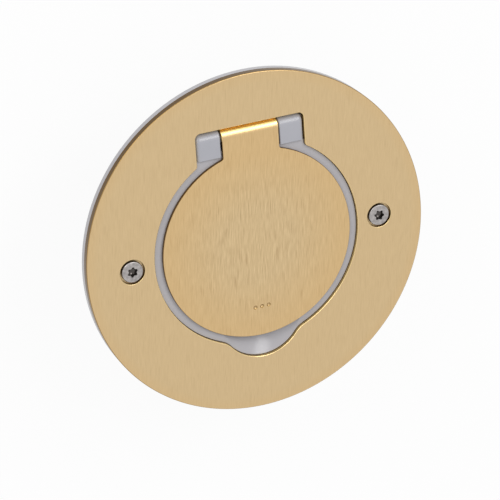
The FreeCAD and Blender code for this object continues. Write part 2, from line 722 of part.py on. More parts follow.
def stud_places():
    """Plan places of the studs under the lid, evenly round its centre."""
    places = []
    for angle in (90, 210, 330):
        places.append(("(%s * cos(%d))" % (STUD_CIRCLE, angle),
                       "(%s * sin(%d))" % (STUD_CIRCLE, angle)))
    return places


def lid_plate():
    """The brass lid: a disc and a tongue in one sheet, rolled into the hinge barrel."""
    body = new_body("lid_plate")
    round_feature(body, "disc", [("0", "0")], LID_RADIUS, LID_UNDER, TOP)
    half = named("tongue_half_width")
    corners = rectangle_corners("-" + half, "0", half, HINGE_Y)
    sheet_metal = block_feature(body, "tongue", corners, LID_UNDER, TOP)
    spots = window_corners(number(LID_RADIUS), dim("tongue_half_width"))
    names = edges_where(sheet_metal, upright_at(spots))
    sheet_metal = fillet(body, "tongue_blends", sheet_metal, names, named("tongue_blend"))
    limit = number(HINGE_Y) - 1e-3
    names = edges_where(sheet_metal, lambda edge, places: level_at(number(TOP))(edge, places)
                        and min(place.y for place in places) < limit)
    fillet(body, "top_edges", sheet_metal, names, named("lid_edge_round"))
    side_feature(body, "barrel", draw_barrel, half)
    low = less(LID_UNDER, named("stud_length"))
    round_feature(body, "studs", stud_places(), named("stud_radius"), low, LID_UNDER)
    return body


def lid_backing():
    """The ribbed plastic backing under the lid, with the groove that holds the seal."""
    body = new_body("lid_backing")
    curb_inner = less(SEAL_GROOVE_INNER, named("rib_thickness"))
    rim_under = less(TOP, named("backing_rim_drop"))
    revolve(body, "pan", [
        ("0", BACKING_UNDER), ("0", LID_UNDER), (BACKING_RADIUS, LID_UNDER),
        (BACKING_RADIUS, rim_under), (SEAL_GROOVE_OUTER, rim_under),
        (SEAL_GROOVE_OUTER, BACKING_UNDER), (SEAL_GROOVE_INNER, BACKING_UNDER),
        (SEAL_GROOVE_INNER, rim_under), (curb_inner, rim_under), (curb_inner, BACKING_UNDER)])
    rib_under = less(BACKING_UNDER, named("rib_height"))
    half = "Dims.rib_thickness / 2"
    corners = rectangle_corners("0", "-" + half, total(curb_inner, half), half)
    rib = block_feature(body, "rib", corners, rib_under, BACKING_UNDER)
    ribs = body.newObject("PartDesign::PolarPattern", "ribs")
    ribs.Originals = [rib]
    ribs.Axis = ([axis for axis in body.Origin.OriginFeatures if axis.Role == "Z_Axis"][0], [""])
    ribs.Angle = 360
    ribs.Occurrences = 6
    body.Tip = ribs
    doc.recompute()
    round_feature(body, "hub", [("0", "0")], named("hub_radius"), rib_under, BACKING_UNDER)
    places = stud_places()
    radius = total(named("nut_radius"), named("nut_room"))
    round_feature(body, "nut_clearances", places, radius, rib_under, BACKING_UNDER, cut=True)
    radius = total(named("stud_radius"), named("stud_clearance"))
    round_feature(body, "stud_holes", places, radius, BACKING_UNDER, LID_UNDER, cut=True)
    return body


def hinge_pocket_corners(gap):
    """Plan outline of the room round the frame's hinge boss."""
    half, end = total(HINGE_BOSS_HALF, gap), total(HINGE_BOSS_END, gap)
    return rectangle_corners("-" + half, "0", half, end)


def floor_seal():
    """The flat foam gasket between the frame's flange and the floor."""
    body = new_body("floor_seal")
    radius = less(PLATE_RADIUS, named("floor_seal_inset"))
    round_feature(body, "sheet", [("0", "0")], radius, FLOOR_LEVEL, FLANGE_UNDER)
    radius = total(STEP_RADIUS, named("floor_seal_gap"))
    round_feature(body, "opening", [("0", "0")], radius, FLOOR_LEVEL, FLANGE_UNDER, cut=True)
    corners = hinge_pocket_corners(named("floor_seal_gap"))
    block_feature(body, "hinge_opening", corners, FLOOR_LEVEL, FLANGE_UNDER, cut=True)
    places = [("-" + SCREW_X, "0"), (SCREW_X, "0")]
    radius = named("screw_hole_radius")
    round_feature(body, "screw_holes", places, radius, FLOOR_LEVEL, FLANGE_UNDER, cut=True)
    return body


def box_cup(body):
    """The stepped cup with its rim, its foot chamfer and the room for the hinge boss."""
    shoulder_under = less(MOUTH_FLOOR, named("cup_wall"))
    mouth_outer = total(MOUTH_RADIUS, named("mouth_wall"))
    foot = named("cup_foot_chamfer")
    revolve(body, "cup", [
        ("0", "0"), (less(CUP_OUTER, foot), "0"), (CUP_OUTER, foot), (CUP_OUTER, shoulder_under),
        (mouth_outer, shoulder_under), (mouth_outer, RIM_UNDER),
        (BOX_RIM_RADIUS, RIM_UNDER), (BOX_RIM_RADIUS, FLOOR_LEVEL),
        ("0", FLOOR_LEVEL)])
    wall = named("mouth_wall")
    corners = hinge_pocket_corners(total(named("mouth_gap"), wall))
    block_feature(body, "hinge_pocket_wall", corners, shoulder_under, FLOOR_LEVEL)


def box_hollows(body):
    """The mouth, the hinge pocket and the round space for mechanism and wires."""
    revolve(body, "space", [
        ("0", named("cup_floor")), (CUP_RADIUS, named("cup_floor")),
        (CUP_RADIUS, MOUTH_FLOOR), (MOUTH_RADIUS, MOUTH_FLOOR),
        (MOUTH_RADIUS, total(FLOOR_LEVEL, PAST)), ("0", total(FLOOR_LEVEL, PAST))], cut=True)
    corners = hinge_pocket_corners(named("mouth_gap"))
    block_feature(body, "hinge_pocket", corners, MOUTH_FLOOR, FLOOR_LEVEL, cut=True)


def box_ears(body):
    """The two bosses for the brass inserts, each tied to the cup by the rim."""
    places = [("-" + SCREW_X, "0"), (SCREW_X, "0")]
    low = less(TOP, named("ear_drop"))
    round_feature(body, "ears", places, named("ear_radius"), low, RIM_UNDER)
    low = less(FLOOR_LEVEL, named("insert_length"))
    round_feature(body, "insert_seats", places, named("insert_radius"), low, FLOOR_LEVEL, cut=True)
    radius = named("screw_hole_radius")
    round_feature(body, "tip_room", places, radius, less(low, named("screw_tip_room")), low, cut=True)


def box_gussets(body):
    """Tapered webs that stiffen the rim against the cup."""
    start, end = less(CUP_OUTER, PAST), less(BOX_RIM_RADIUS, named("gusset_inset"))
    half = "(Dims.gusset_thickness / 2)"
    for index, angle in enumerate((0, 30, 150, 180, 210, 330)):
        sketch = new_sketch(body, "gusset_side_%d" % index, "XZ_Plane")
        sketch.AttachmentOffset = FreeCAD.Placement(
            FreeCAD.Vector(0, 0, 0), FreeCAD.Rotation(FreeCAD.Vector(0, 1, 0), angle))
        reach = less(SCREW_X, PAST) if angle in (0, 180) else end
        add_polygon(sketch, [(start, RIM_UNDER), (reach, RIM_UNDER),
                             (reach, less(RIM_UNDER, named("gusset_toe"))),
                             (start, less(RIM_UNDER, named("gusset_depth")))])
        extrude(body, "gusset_%d" % index, sketch, "2 * " + half, midplane=True)


def box_conduit_entry(body):
    """A spigot for rigid conduit towards -Y, with a stop and a way into the cup."""
    height, mouth = named("conduit_height"), CONDUIT_MOUTH
    stop = less(mouth, named("conduit_socket_length"))
    outer = total(named("conduit_radius"), named("conduit_wall"))
    inside = less(CUP_RADIUS, PAST, PAST)
    for label, radius, start, end, cut in (
            ("spigot", outer, CUP_RADIUS, mouth, False),
            ("conduit_socket", named("conduit_radius"), stop, mouth, True),
            ("conduit_way", named("conduit_bore_radius"), inside, stop, True)):
        sketch = new_sketch(body, label + "_face", "XZ_Plane", start)
        add_circle(sketch, "0", height, radius)
        extrude(body, label, sketch, less(end, start), cut=cut)
    # the spigot starts inside the round wall, so what reaches the cup's space is cleared again
    revolve(body, "space_again", [
        ("0", named("cup_floor")), (CUP_RADIUS, named("cup_floor")),
        (CUP_RADIUS, MOUTH_FLOOR), ("0", MOUTH_FLOOR)], cut=True)


def box_knockouts(body):
    """Thin-skinned round knock-outs on the three sides without a spigot."""
    skin = total(CUP_RADIUS, named("knockout_skin"))
    reach = total(less(CUP_OUTER, skin), PAST)
    inner = less(named("knockout_radius"), named("knockout_groove"))
    for label, role, down in (("right", "YZ_Plane", False), ("left", "YZ_Plane", True),
                              ("back", "XZ_Plane", True)):
        start = "-" + skin if down else skin
        sketch = new_sketch(body, label + "_knockout_face", role, start)
        add_circle(sketch, "0", named("conduit_height"), named("knockout_radius"))
        add_circle(sketch, "0", named("conduit_height"), inner)
        extrude(body, label + "_knockout", sketch, reach, down=down, cut=True)


def flush_box():
    """The moulded box that is cast into the floor."""
    body = new_body("flush_box")
    box_cup(body)
    box_gussets(body)
    box_ears(body)
    box_hollows(body)
    box_conduit_entry(body)
    box_knockouts(body)
    along = "(%s * sin(45))" % less(CUP_RADIUS, named("fixing_inset"))
    places = [("-" + along, "-" + along), (along, along)]
    radius = named("fixing_hole_radius")
    round_feature(body, "fixing_holes", places, radius, "0", named("cup_floor"), cut=True)
    return body


def socket_face():
    """The moulded socket face: a rim, the deep round plug recess and its slots."""
    body = new_body("socket_face")
    rim = less(WELL_RADIUS, named("socket_rim_clearance"))
    recess = named("plug_recess_radius")
    revolve(body, "face", [
        ("0", FACE_UNDER), (SOCKET_OUTER, FACE_UNDER), (SOCKET_OUTER, SHOULDER),
        (rim, SHOULDER), (rim, SOCKET_TOP), (recess, SOCKET_TOP), (recess, RECESS_FLOOR),
        ("0", RECESS_FLOOR)])
    places = [("-" + HALF_PITCH, "0"), (HALF_PITCH, "0")]
    radius = named("contact_hole_radius")
    round_feature(body, "contact_holes", places, radius, FACE_UNDER, RECESS_FLOOR, cut=True)
    half = named("earth_slot_half_width")
    start, end = less(recess, PAST), total(SOCKET_OUTER, PAST)
    low = total(RECESS_FLOOR, named("earth_slot_foot"))
    high = less(SHOULDER, named("earth_slot_head"))
    for side, sign in (("back", ""), ("front", "-")):
        corners = rectangle_corners("-" + half, sign + start, half, sign + end)
        block_feature(body, side + "_earth_slot", corners, low, high, cut=True)
    places = socket_screw_places()
    radius = total(named("socket_screw_radius"), named("socket_screw_clearance"))
    round_feature(body, "screw_holes", places, radius, SHOULDER, SOCKET_TOP, cut=True)
    radius = total(named("socket_screw_head_radius"), named("head_clearance"))
    low = less(SOCKET_TOP, named("socket_screw_head_height"))
    round_feature(body, "head_pockets", places, radius, low, SOCKET_TOP, cut=True)
    radius = less(named("pivot_radius"), named("shutter_gap"))
    low = less(CAVITY_FLOOR, named("pivot_depth"))
    round_feature(body, "shutter_pivot", [("0", "0")], radius, low, FACE_UNDER)
    return body


def contact_base():
    """The insulating base: shutter cavity on top, contact wells and strip slots below."""
    body = new_body("contact_base")
    round_feature(body, "block", [("0", "0")], SOCKET_OUTER, BASE_UNDER, FACE_UNDER)
    radius = named("shutter_cavity_radius")
    round_feature(body, "shutter_cavity", [("0", "0")], radius, CAVITY_FLOOR, FACE_UNDER, cut=True)
    round_feature(body, "pivot_seat", [("0", "0")], named("pivot_radius"),
                  less(CAVITY_FLOOR, named("pivot_seat_depth")), CAVITY_FLOOR, cut=True)
    places = [("-" + HALF_PITCH, "0"), (HALF_PITCH, "0")]
    radius = total(named("contact_bore_radius"), named("contact_wall"), named("contact_clearance"))
    round_feature(body, "contact_wells", places, radius, BASE_UNDER, CAVITY_FLOOR, cut=True)
    half = total(named("strip_half_width"), named("contact_clearance"))
    high = total(STRIP_UNDER, named("strip_thickness"), named("contact_clearance"))
    start, end = less(HALF_PITCH, radius), total(SOCKET_OUTER, PAST)
    for side, sign in (("left", "-"), ("right", "")):
        corners = rectangle_corners(sign + start, "-" + half, sign + end, half)
        block_feature(body, side + "_strip_slot", corners, BASE_UNDER, high, cut=True)
    high = total(BASE_UNDER, named("base_screw_length"))
    round_feature(body, "screw_pilots", base_screw_places(), named("base_screw_radius"),
                  BASE_UNDER, high, cut=True)
    return body


def cylinder(label, radius, height, place, turn=None):
    """A plain cylinder bound to the sheet, standing on its place or turned there."""
    item = doc.addObject("Part::Cylinder", label)
    bind(item, "Radius", radius)
    bind(item, "Height", height)
    put(item, place, turn)
    return item


def block(label, sizes, place):
    """A plain block bound to the sheet, from its lowest corner."""
    item = doc.addObject("Part::Box", label)
    for prop, size in zip(("Length", "Width", "Height"), sizes):
        bind(item, prop, size)
    put(item, place)
    return item


def put(item, place, turn=None):
    """Place an item by three expressions, after a fixed turn."""
    if turn is not None:
        item.Placement = FreeCAD.Placement(FreeCAD.Vector(0, 0, 0), turn)
    for axis, expression in zip("xyz", place):
        bind(item, ".Placement.Base." + axis, expression)


ALONG_X = FreeCAD.Rotation(FreeCAD.Vector(0, 1, 0), 90)
ALONG_MINUS_X = FreeCAD.Rotation(FreeCAD.Vector(0, 1, 0), -90)
ALONG_Y = FreeCAD.Rotation(FreeCAD.Vector(1, 0, 0), -90)


def fuse(label, shapes):
    """One solid, or one group, of several items."""
    item = doc.addObject("Part::MultiFuse", label)
    item.Shapes = shapes
    item.Label = label
    return item


def cut(label, base, tools):
    """The base less one tool or a fusion of several."""
    item = doc.addObject("Part::Cut", label)
    item.Base = base
    item.Tool = tools[0] if len(tools) == 1 else fuse(label + "_tools", tools)
    item.Label = label
    return item


DRIVE_LOBES = 6


def cover_screw(side, sign):
    """A low pan-head screw with a six-lobe drive, its thread left smooth."""
    name = side + "_cover_screw"
    x = sign + SCREW_X
    head = cylinder(name + "_head", named("head_radius"), named("head_height"), (x, "0", HEAD_SEAT))
    doc.recompute()
    rounding = doc.addObject("Part::Fillet", name + "_round")
    rounding.Base = head
    top = number(HEAD_SEAT) + dim("head_height")
    names = edges_where(head, level_at(top))
    rounding.Edges = [(int(text[4:]), dim("head_round"), dim("head_round")) for text in names]
    low = less(HEAD_SEAT, named("screw_length"))
    shank = cylinder(name + "_shank", named("screw_radius"), named("screw_length"), (x, "0", low))
    level = less(total(HEAD_SEAT, named("head_height")), named("drive_depth"))
    depth = total(named("drive_depth"), PAST)
    core = less(named("drive_radius"), named("drive_lobe_radius"))
    tools = [cylinder(name + "_drive", core, depth, (x, "0", level))]
    for index in range(DRIVE_LOBES):
        angle = 360 * index / DRIVE_LOBES
        along = total(x, "(%s * cos(%d))" % (core, angle))
        up = "(%s * sin(%d))" % (core, angle)
        radius = named("drive_lobe_radius")
        tools.append(cylinder("%s_lobe_%d" % (name, index), radius, depth, (along, up, level)))
    solid = fuse(name + "_blank", [rounding, shank])
    return cut(name, solid, tools)


def ring(label, outer, inner, height, place, turn=None):
    """A plain ring: one cylinder less a smaller one."""
    solid = cylinder(label + "_outer", outer, height, place, turn)
    bore = cylinder(label + "_bore", inner, height, place, turn)
    return cut(label, solid, [bore])


def screws(label, places, radius, length, head_radius, head_height, under_head, down):
    """A group of like small screws, head up or head down, with the head's seat height given."""
    items = []
    for index, (x, y) in enumerate(places):
        name = "%s_%d" % (label, index)
        head_low = under_head if down else less(under_head, head_height)
        shank_low = less(under_head, length) if down else under_head
        head = cylinder(name + "_head", head_radius, head_height, (x, y, head_low))
        shank = cylinder(name + "_shank", radius, length, (x, y, shank_low))
        slot_size = named("slot_width")
        slot_low = total(head_low, less(head_height, slot_size)) if down else head_low
        slot = block(name + "_slot", ("2 * " + head_radius, slot_size, slot_size),
                     (less(x, head_radius), less(y, slot_size + " / 2"), slot_low))
        items.append(cut(name, fuse(name + "_blank", [head, shank]), [slot]))
    return fuse(label, items)


def hinge_spring():
    """The torsion spring that shuts the lid, coiled round the pin between the bushes."""
    wire = dim("spring_wire_radius")
    mean = (number(BARREL_INNER) + number(PIN_BORE)) / 2
    half = dim("tongue_half_width") - dim("bush_length") - dim("spring_end_gap") - wire
    turns = dim("spring_turns")
    helix = Part.makeHelix(2 * half / turns, 2 * half, mean)
    section = Part.Wire(Part.makeCircle(wire, FreeCAD.Vector(mean, 0, 0), FreeCAD.Vector(0, 1, 0)))
    coil = Part.Wire(helix.Edges).makePipeShell([section], True, True)
    item = doc.addObject("Part::Feature", "hinge_spring")
    item.Label = "hinge_spring"
    item.Shape = coil
    place = FreeCAD.Vector(-half, number(HINGE_Y), number(HINGE_HEIGHT))
    item.Placement = FreeCAD.Placement(place, ALONG_X)
    return item


def hinge_bushes():
    """Two bushes that carry the barrel on the pin."""
    length = named("bush_length")
    outer = less(BARREL_INNER, named("pin_clearance"))
    bushes = []
    for side, start in (("left", "-" + named("tongue_half_width")),
                        ("right", less(named("tongue_half_width"), length))):
        place = (start, HINGE_Y, HINGE_HEIGHT)
        bushes.append(ring(side + "_hinge_bush", outer, PIN_BORE, length, place, ALONG_X))
    return bushes


def hinge_pin():
    """The steel pin through barrel and caps."""
    item = cylinder("hinge_pin", named("pin_radius"), "2 * " + PIN_HALF,
                    ("-" + PIN_HALF, HINGE_Y, HINGE_HEIGHT), ALONG_X)
    item.Label = "hinge_pin"
    return item


def lid_seal():
    """The rubber ring in the backing's groove that meets the frame's seat."""
    low = total(SEAT, named("lid_seal_gap"))
    return ring("lid_seal", SEAL_GROOVE_OUTER, SEAL_GROOVE_INNER, less(BACKING_UNDER, low),
                ("0", "0", low))


def lid_nuts():
    """Push-on nuts that hold the backing on the lid's studs."""
    low = less(BACKING_UNDER, named("nut_thickness"))
    nuts = []
    for index, (x, y) in enumerate(stud_places()):
        name = "lid_nut_%d" % index
        nuts.append(ring(name, named("nut_radius"), total(named("stud_radius"), named("slip_gap")),
                         named("nut_thickness"), (x, y, low)))
    return fuse("lid_nuts", nuts)


def shutter():
    """The turning shutter behind the contact holes, with a window for each pin."""
    body = new_body("shutter")
    top = less(FACE_UNDER, named("shutter_gap"))
    low = less(top, named("shutter_thickness"))
    round_feature(body, "disc", [("0", "0")], named("shutter_radius"), low, top)
    radius = total(named("pivot_radius"), named("touch_gap"))
    round_feature(body, "pivot_hole", [("0", "0")], radius, low, top, cut=True)
    turn = named("shutter_turn_degrees")
    places = []
    for sign in ("", "-"):
        places.append(("%s(%s * cos(%s))" % (sign, HALF_PITCH, turn),
                       "%s(-%s * sin(%s))" % (sign, HALF_PITCH, turn)))
    radius = total(named("contact_hole_radius"), named("pin_window_clearance"))
    round_feature(body, "pin_windows", places, radius, low, top, cut=True)
    return body


def shutter_spring():
    """The small torsion spring under the shutter, round its pivot."""
    wire = dim("shutter_wire_radius")
    spare = wire + dim("slip_gap")
    low = number(CAVITY_FLOOR) + spare
    high = number(FACE_UNDER) - dim("shutter_gap") - dim("shutter_thickness") - spare
    mean = dim("pivot_radius") + dim("shutter_spring_room")
    helix = Part.makeHelix((high - low) / dim("shutter_spring_turns"), high - low, mean)
    section = Part.Wire(Part.makeCircle(wire, FreeCAD.Vector(mean, 0, 0), FreeCAD.Vector(0, 1, 0)))
    coil = Part.Wire(helix.Edges).makePipeShell([section], True, True)
    item = doc.addObject("Part::Feature", "shutter_spring")
    item.Label = "shutter_spring"
    item.Shape = coil
    item.Placement = FreeCAD.Placement(FreeCAD.Vector(0, 0, low), FreeCAD.Rotation())
    return item


def line_contact(side, sign):
    """A slit contact sleeve standing on the strip that leads to its terminal."""
    name = side + "_line_contact"
    x = sign + HALF_PITCH
    outer = total(named("contact_bore_radius"), named("contact_wall"))
    sleeve = cylinder(name + "_sleeve", outer, named("contact_length"), (x, "0", CONTACT_FOOT))
    bore = cylinder(name + "_bore", named("contact_bore_radius"), named("contact_length"),
                    (x, "0", CONTACT_FOOT))
    slit = block(name + "_slit", (named("contact_slit"), "2 * " + outer, named("contact_length")),
                 (less(x, "Dims.contact_slit / 2"), "-" + outer, total(CONTACT_FOOT, named("contact_root"))))
    tube = cut(name + "_tube", sleeve, [bore, slit])
    length = less(total(TERMINAL_START, named("terminal_depth")),
                  less(HALF_PITCH, outer))
    start = less(HALF_PITCH, outer)
    low_x = start if not sign else "-(%s + %s)" % (start, length)
    strip = block(name + "_strip", (length, "2 * Dims.strip_half_width", named("strip_thickness")),
                  (low_x, "-Dims.strip_half_width", STRIP_UNDER))
    return fuse(name, [tube, strip])


def terminal(name, outward, base_height):
    """A brass block on the end of a strip, drilled for the wire and its clamping screw."""
    width, depth, height = (named("terminal_width"), named("terminal_depth"), named("terminal_height"))
    start = TERMINAL_START
    middle = total(start, "Dims.terminal_depth / 2")
    level = total(base_height, "Dims.terminal_height / 2")
    if outward == "+y":
        start = EARTH_FACE
        middle = total(start, "Dims.terminal_depth / 2")
        solid = block(name + "_blank", (width, depth, height),
                      ("-Dims.terminal_width / 2", start, base_height))
        wire = cylinder(name + "_wire", named("wire_hole_radius"), width,
                        ("-Dims.terminal_width / 2", middle, level), ALONG_X)
        thread = cylinder(name + "_thread", named("terminal_screw_radius"),
                          "Dims.terminal_depth / 2", ("0", middle, level), ALONG_Y)
    else:
        left = outward == "-x"
        low_x = "-(%s + %s)" % (start, depth) if left else start
        solid = block(name + "_blank", (depth, width, height),
                      (low_x, "-Dims.terminal_width / 2", base_height))
        x = "-" + middle if left else middle
        wire = cylinder(name + "_wire", named("wire_hole_radius"), width,
                        (x, "-Dims.terminal_width / 2", level), ALONG_Y)
        thread = cylinder(name + "_thread", named("terminal_screw_radius"),
                          "Dims.terminal_depth / 2", (x, "0", level),
                          ALONG_MINUS_X if left else ALONG_X)
    return cut(name, solid, [wire, thread])


def terminal_screws(levels):
    """The three clamping screws, each in the outer face of its terminal."""
    items = []
    for index, (outward, base_height) in enumerate(levels):
        name = "terminal_screw_%d" % index
        start = EARTH_FACE if outward == "+y" else TERMINAL_START
        face = total(start, named("terminal_depth"))
        level = total(base_height, "Dims.terminal_height / 2")
        length = "Dims.terminal_depth / 2"
        sign, turn = {"+y": ("", ALONG_Y), "+x": ("", ALONG_X), "-x": ("-", ALONG_MINUS_X)}[outward]
        radius = less(named("terminal_screw_radius"), named("touch_gap"))
        inner = sign + less(face, length)
        outer = sign + face
        if outward == "+y":
            shank_place, head_place = ("0", inner, level), ("0", outer, level)
        else:
            shank_place, head_place = (inner, "0", level), (outer, "0", level)
        shank = cylinder(name + "_shank", radius, length, shank_place, turn)
        head = cylinder(name + "_head", named("terminal_head_radius"),
                        named("terminal_head_height"), head_place, turn)
        items.append(fuse(name, [shank, head]))
    return fuse("terminal_screws", items)


def earth_strap():
    """One bent strap: under the base, up both sides and in through the slots as fingers."""
    body = new_body("earth_strap")
    sheet_t = named("earth_thickness")
    sketch = new_sketch(body, "strap_side", "YZ_Plane")
    inner, outer = EARTH_INNER, EARTH_FACE
    bottom = less(EARTH_TOP, sheet_t)
    knee = total(RECESS_FLOOR, named("earth_knee"))
    bulge = total(knee, named("earth_finger_rise"))
    tip = total(bulge, named("earth_finger_rise"))
    finger = less(named("plug_recess_radius"), named("earth_reach"))
    right = [(outer, bottom), (outer, knee), (total(finger, sheet_t), bulge),
             (inner, tip), (less(inner, sheet_t), tip), (finger, bulge),
             (inner, less(knee, named("earth_bend"))), (inner, EARTH_TOP)]
    left = [("-" + along, up) for along, up in reversed(right)]
    add_polygon(sketch, right + left)
    extrude(body, "strap", sketch, "2 * Dims.earth_half_width", midplane=True)
    return body


def base_screw_places():
    """Plan places of the screws that close the base."""
    offset = "(Dims.base_screw_offset * sin(45))"
    return [("-" + offset, offset), (offset, "-" + offset)]


def base_cover():
    """The insulating plate that closes the contact wells from below."""
    solid = cylinder("base_cover_blank", SOCKET_OUTER, named("base_cover_thickness"),
                     ("0", "0", BASE_COVER_UNDER))
    radius = total(named("base_screw_radius"), named("base_screw_clearance"))
    tools = [cylinder("base_cover_hole_%d" % index, radius, named("base_cover_thickness"),
                      (x, y, BASE_COVER_UNDER)) for index, (x, y) in enumerate(base_screw_places())]
    return cut("base_cover", solid, tools)


def build():
    """Make every sub-part and return them in assembly order."""
    parts = [flush_box(), floor_seal(), support_frame(), cover_plate()]
    parts += [hinge_cap("left", "-"), hinge_cap("right", "")]
    parts += [hinge_pin(), *hinge_bushes(), hinge_spring()]
    parts += [lid_plate(), lid_backing(), lid_seal(), lid_nuts()]
    for side, sign in (("left", "-"), ("right", "")):
        x = sign + SCREW_X
        parts.append(cover_screw(side, sign))
        low = less(PLATE_UNDER, named("screw_seal_thickness"))
        parts.append(ring(side + "_screw_seal", less(named("screw_seal_radius"), named("slip_gap")),
                          total(named("screw_radius"), named("stud_clearance")),
                          named("screw_seal_thickness"), (x, "0", low)))
        low = less(FLOOR_LEVEL, named("insert_length"))
        parts.append(ring(side + "_threaded_insert", less(named("insert_radius"), named("touch_gap")),
                          named("insert_bore_radius"), named("insert_length"), (x, "0", low)))
    head_low = total(STEP_UNDER, named("cap_screw_head_height"))
    length = total(less(HINGE_HEIGHT, head_low), less(named("cap_screw_bite"), named("pilot_spare")))
    radius = less(named("cap_screw_radius"), named("touch_gap"))
    parts.append(screws("cap_screws", cap_screw_places(), radius, length,
                        named("cap_screw_head_radius"), named("cap_screw_head_height"),
                        head_low, False))
    parts += [socket_face(), contact_base(), base_cover(), shutter(), shutter_spring()]
    radius = less(named("socket_screw_radius"), named("touch_gap"))
    under_head = less(SOCKET_TOP, named("socket_screw_head_height"))
    parts.append(screws("socket_screws", socket_screw_places(), radius, named("socket_screw_length"),
                        named("socket_screw_head_radius"),
                        less(named("socket_screw_head_height"), named("head_sink")), under_head, True))
    radius = less(named("base_screw_radius"), named("touch_gap"))
    length = total(named("base_cover_thickness"), named("base_screw_length"), "-" + named("pilot_spare"))
    parts.append(screws("base_screws", base_screw_places(), radius, length,
                        named("base_screw_head_radius"), named("base_screw_head_height"),
                        BASE_COVER_UNDER, False))
    parts += [line_contact("left", "-"), line_contact("right", ""), earth_strap()]
    level = CONTACT_FOOT
    parts += [terminal("left_terminal", "-x", level), terminal("right_terminal", "+x", level),
              terminal("earth_terminal", "+y", level)]
    parts.append(terminal_screws([("-x", level), ("+x", level), ("+y", level)]))
    return parts


def check(parts):
    """Stop if anything failed to compute or a sub-part has no valid solid."""
    doc.recompute()
    for item in doc.Objects:
        if "Invalid" in item.State or "Error" in item.State:
            raise RuntimeError("%s did not compute: %s" % (item.Label, item.State))
    for item in parts:
        if item.Shape.isNull() or not item.Shape.isValid() or not item.Shape.Solids:
            raise RuntimeError("%s has no valid solid" % item.Label)


def export(parts):
    """Write each sub-part to its own file."""
    os.makedirs("parts", exist_ok=True)
    for item in parts:
        item.Shape.exportStep("parts/%s.step" % item.Label)
        print("%-24s %d solid(s)  %10.2f mm3" % (item.Label, len(item.Shape.Solids), item.Shape.Volume))


pieces = build()
check(pieces)
export(pieces)
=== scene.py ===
from math import atan2, cos, degrees, hypot, pi, radians, sin, sqrt

import bmesh
import bpy
from mathutils import Matrix, Vector


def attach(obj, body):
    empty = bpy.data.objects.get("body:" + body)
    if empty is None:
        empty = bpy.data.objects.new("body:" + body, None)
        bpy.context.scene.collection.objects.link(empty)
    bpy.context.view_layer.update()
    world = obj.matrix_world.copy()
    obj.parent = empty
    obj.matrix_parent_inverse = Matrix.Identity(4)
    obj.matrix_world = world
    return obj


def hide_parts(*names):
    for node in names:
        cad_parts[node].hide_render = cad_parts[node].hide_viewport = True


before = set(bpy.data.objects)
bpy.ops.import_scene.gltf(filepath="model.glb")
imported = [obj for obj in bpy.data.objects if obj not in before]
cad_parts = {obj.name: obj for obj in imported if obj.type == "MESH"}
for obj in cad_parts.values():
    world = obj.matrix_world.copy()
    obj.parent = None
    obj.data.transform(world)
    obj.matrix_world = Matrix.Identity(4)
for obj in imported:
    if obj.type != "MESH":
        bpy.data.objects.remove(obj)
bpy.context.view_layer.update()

bpy.ops.object.select_all(action="DESELECT")
MM = 0.001

# The camera stands above the left of the hinge, where the photograph was taken from, with the
# hinge side up in the picture. Its long lens keeps the round cover nearly an even ellipse.
LOOK_AT = Vector((-3.19, -1.91, 49.0)) * MM
CAMERA_BEARING = radians(128.55)
CAMERA_RISE = radians(58.11)
CAMERA_DISTANCE = 991.3 * MM
CAMERA_ROLL = radians(-4.03)
CAMERA_LENS = 199.48
CAMERA_SENSOR = 36.0
CAMERA_REACH = 10.0
back = Vector((cos(CAMERA_RISE) * cos(CAMERA_BEARING), cos(CAMERA_RISE) * sin(CAMERA_BEARING),
               sin(CAMERA_RISE)))
right = Matrix.Rotation(CAMERA_ROLL, 3, back) @ Vector((0, 1, 0)).cross(back).normalized()
facing = Matrix((right, back.cross(right), back)).transposed()
bpy.ops.object.camera_add(location=LOOK_AT + back * CAMERA_DISTANCE, rotation=facing.to_euler())
camera = bpy.context.object
camera.data.lens = CAMERA_LENS
camera.data.sensor_width = CAMERA_SENSOR
camera.data.clip_end = CAMERA_REACH
bpy.context.scene.camera = camera
bpy.context.scene.view_settings.view_transform = "Standard"

# The light is that of a small product studio: an even pale surround, a tall softbox beyond the
# right of the hinge for barrel and caps, and a panel below the camera for edges that face it.
SURROUND_LEVEL = 0.67


def feed(links, value, socket):
    """Give a socket a value of its own, or another socket to read."""
    if isinstance(value, bpy.types.NodeSocket):
        links.new(value, socket)
    else:
        socket.default_value = value


def calculated(nodes, links, operation, *values):
    """One step of arithmetic on numbers and sockets."""
    step = nodes.new("ShaderNodeMath")
    step.operation = operation
    for value, socket in zip(values, step.inputs):
        feed(links, value, socket)
    return step.outputs[0]


def mapped(nodes, links, value, start, end, low, high):
    """A value carried from one range to another, held at both ends."""
    node = nodes.new("ShaderNodeMapRange")
    for label, source in (("Value", value), ("From Min", start), ("From Max", end),
                          ("To Min", low), ("To Max", high)):
        feed(links, source, node.inputs[label])
    return node.outputs[0]


def any_ray(nodes, links, first, *others):
    """One for light paths of any of the named kinds, and nought for the rest."""
    paths = nodes.new("ShaderNodeLightPath")
    found = paths.outputs[first]
    for ray in others:
        found = calculated(nodes, links, "MAXIMUM", found, paths.outputs[ray])
    return found


world = bpy.data.worlds.new("studio_surround")
bpy.context.scene.world = world
world.use_nodes = True
nodes, links = world.node_tree.nodes, world.node_tree.links
seen = any_ray(nodes, links, "Is Camera Ray", "Is Glossy Ray", "Is Transmission Ray")
surround = nodes["Background"]
surround.inputs["Color"].default_value = (1.0, 1.0, 1.0, 1.0)
links.new(mapped(nodes, links, seen, 0.0, 1.0, SURROUND_LEVEL, 1.0), surround.inputs["Strength"])


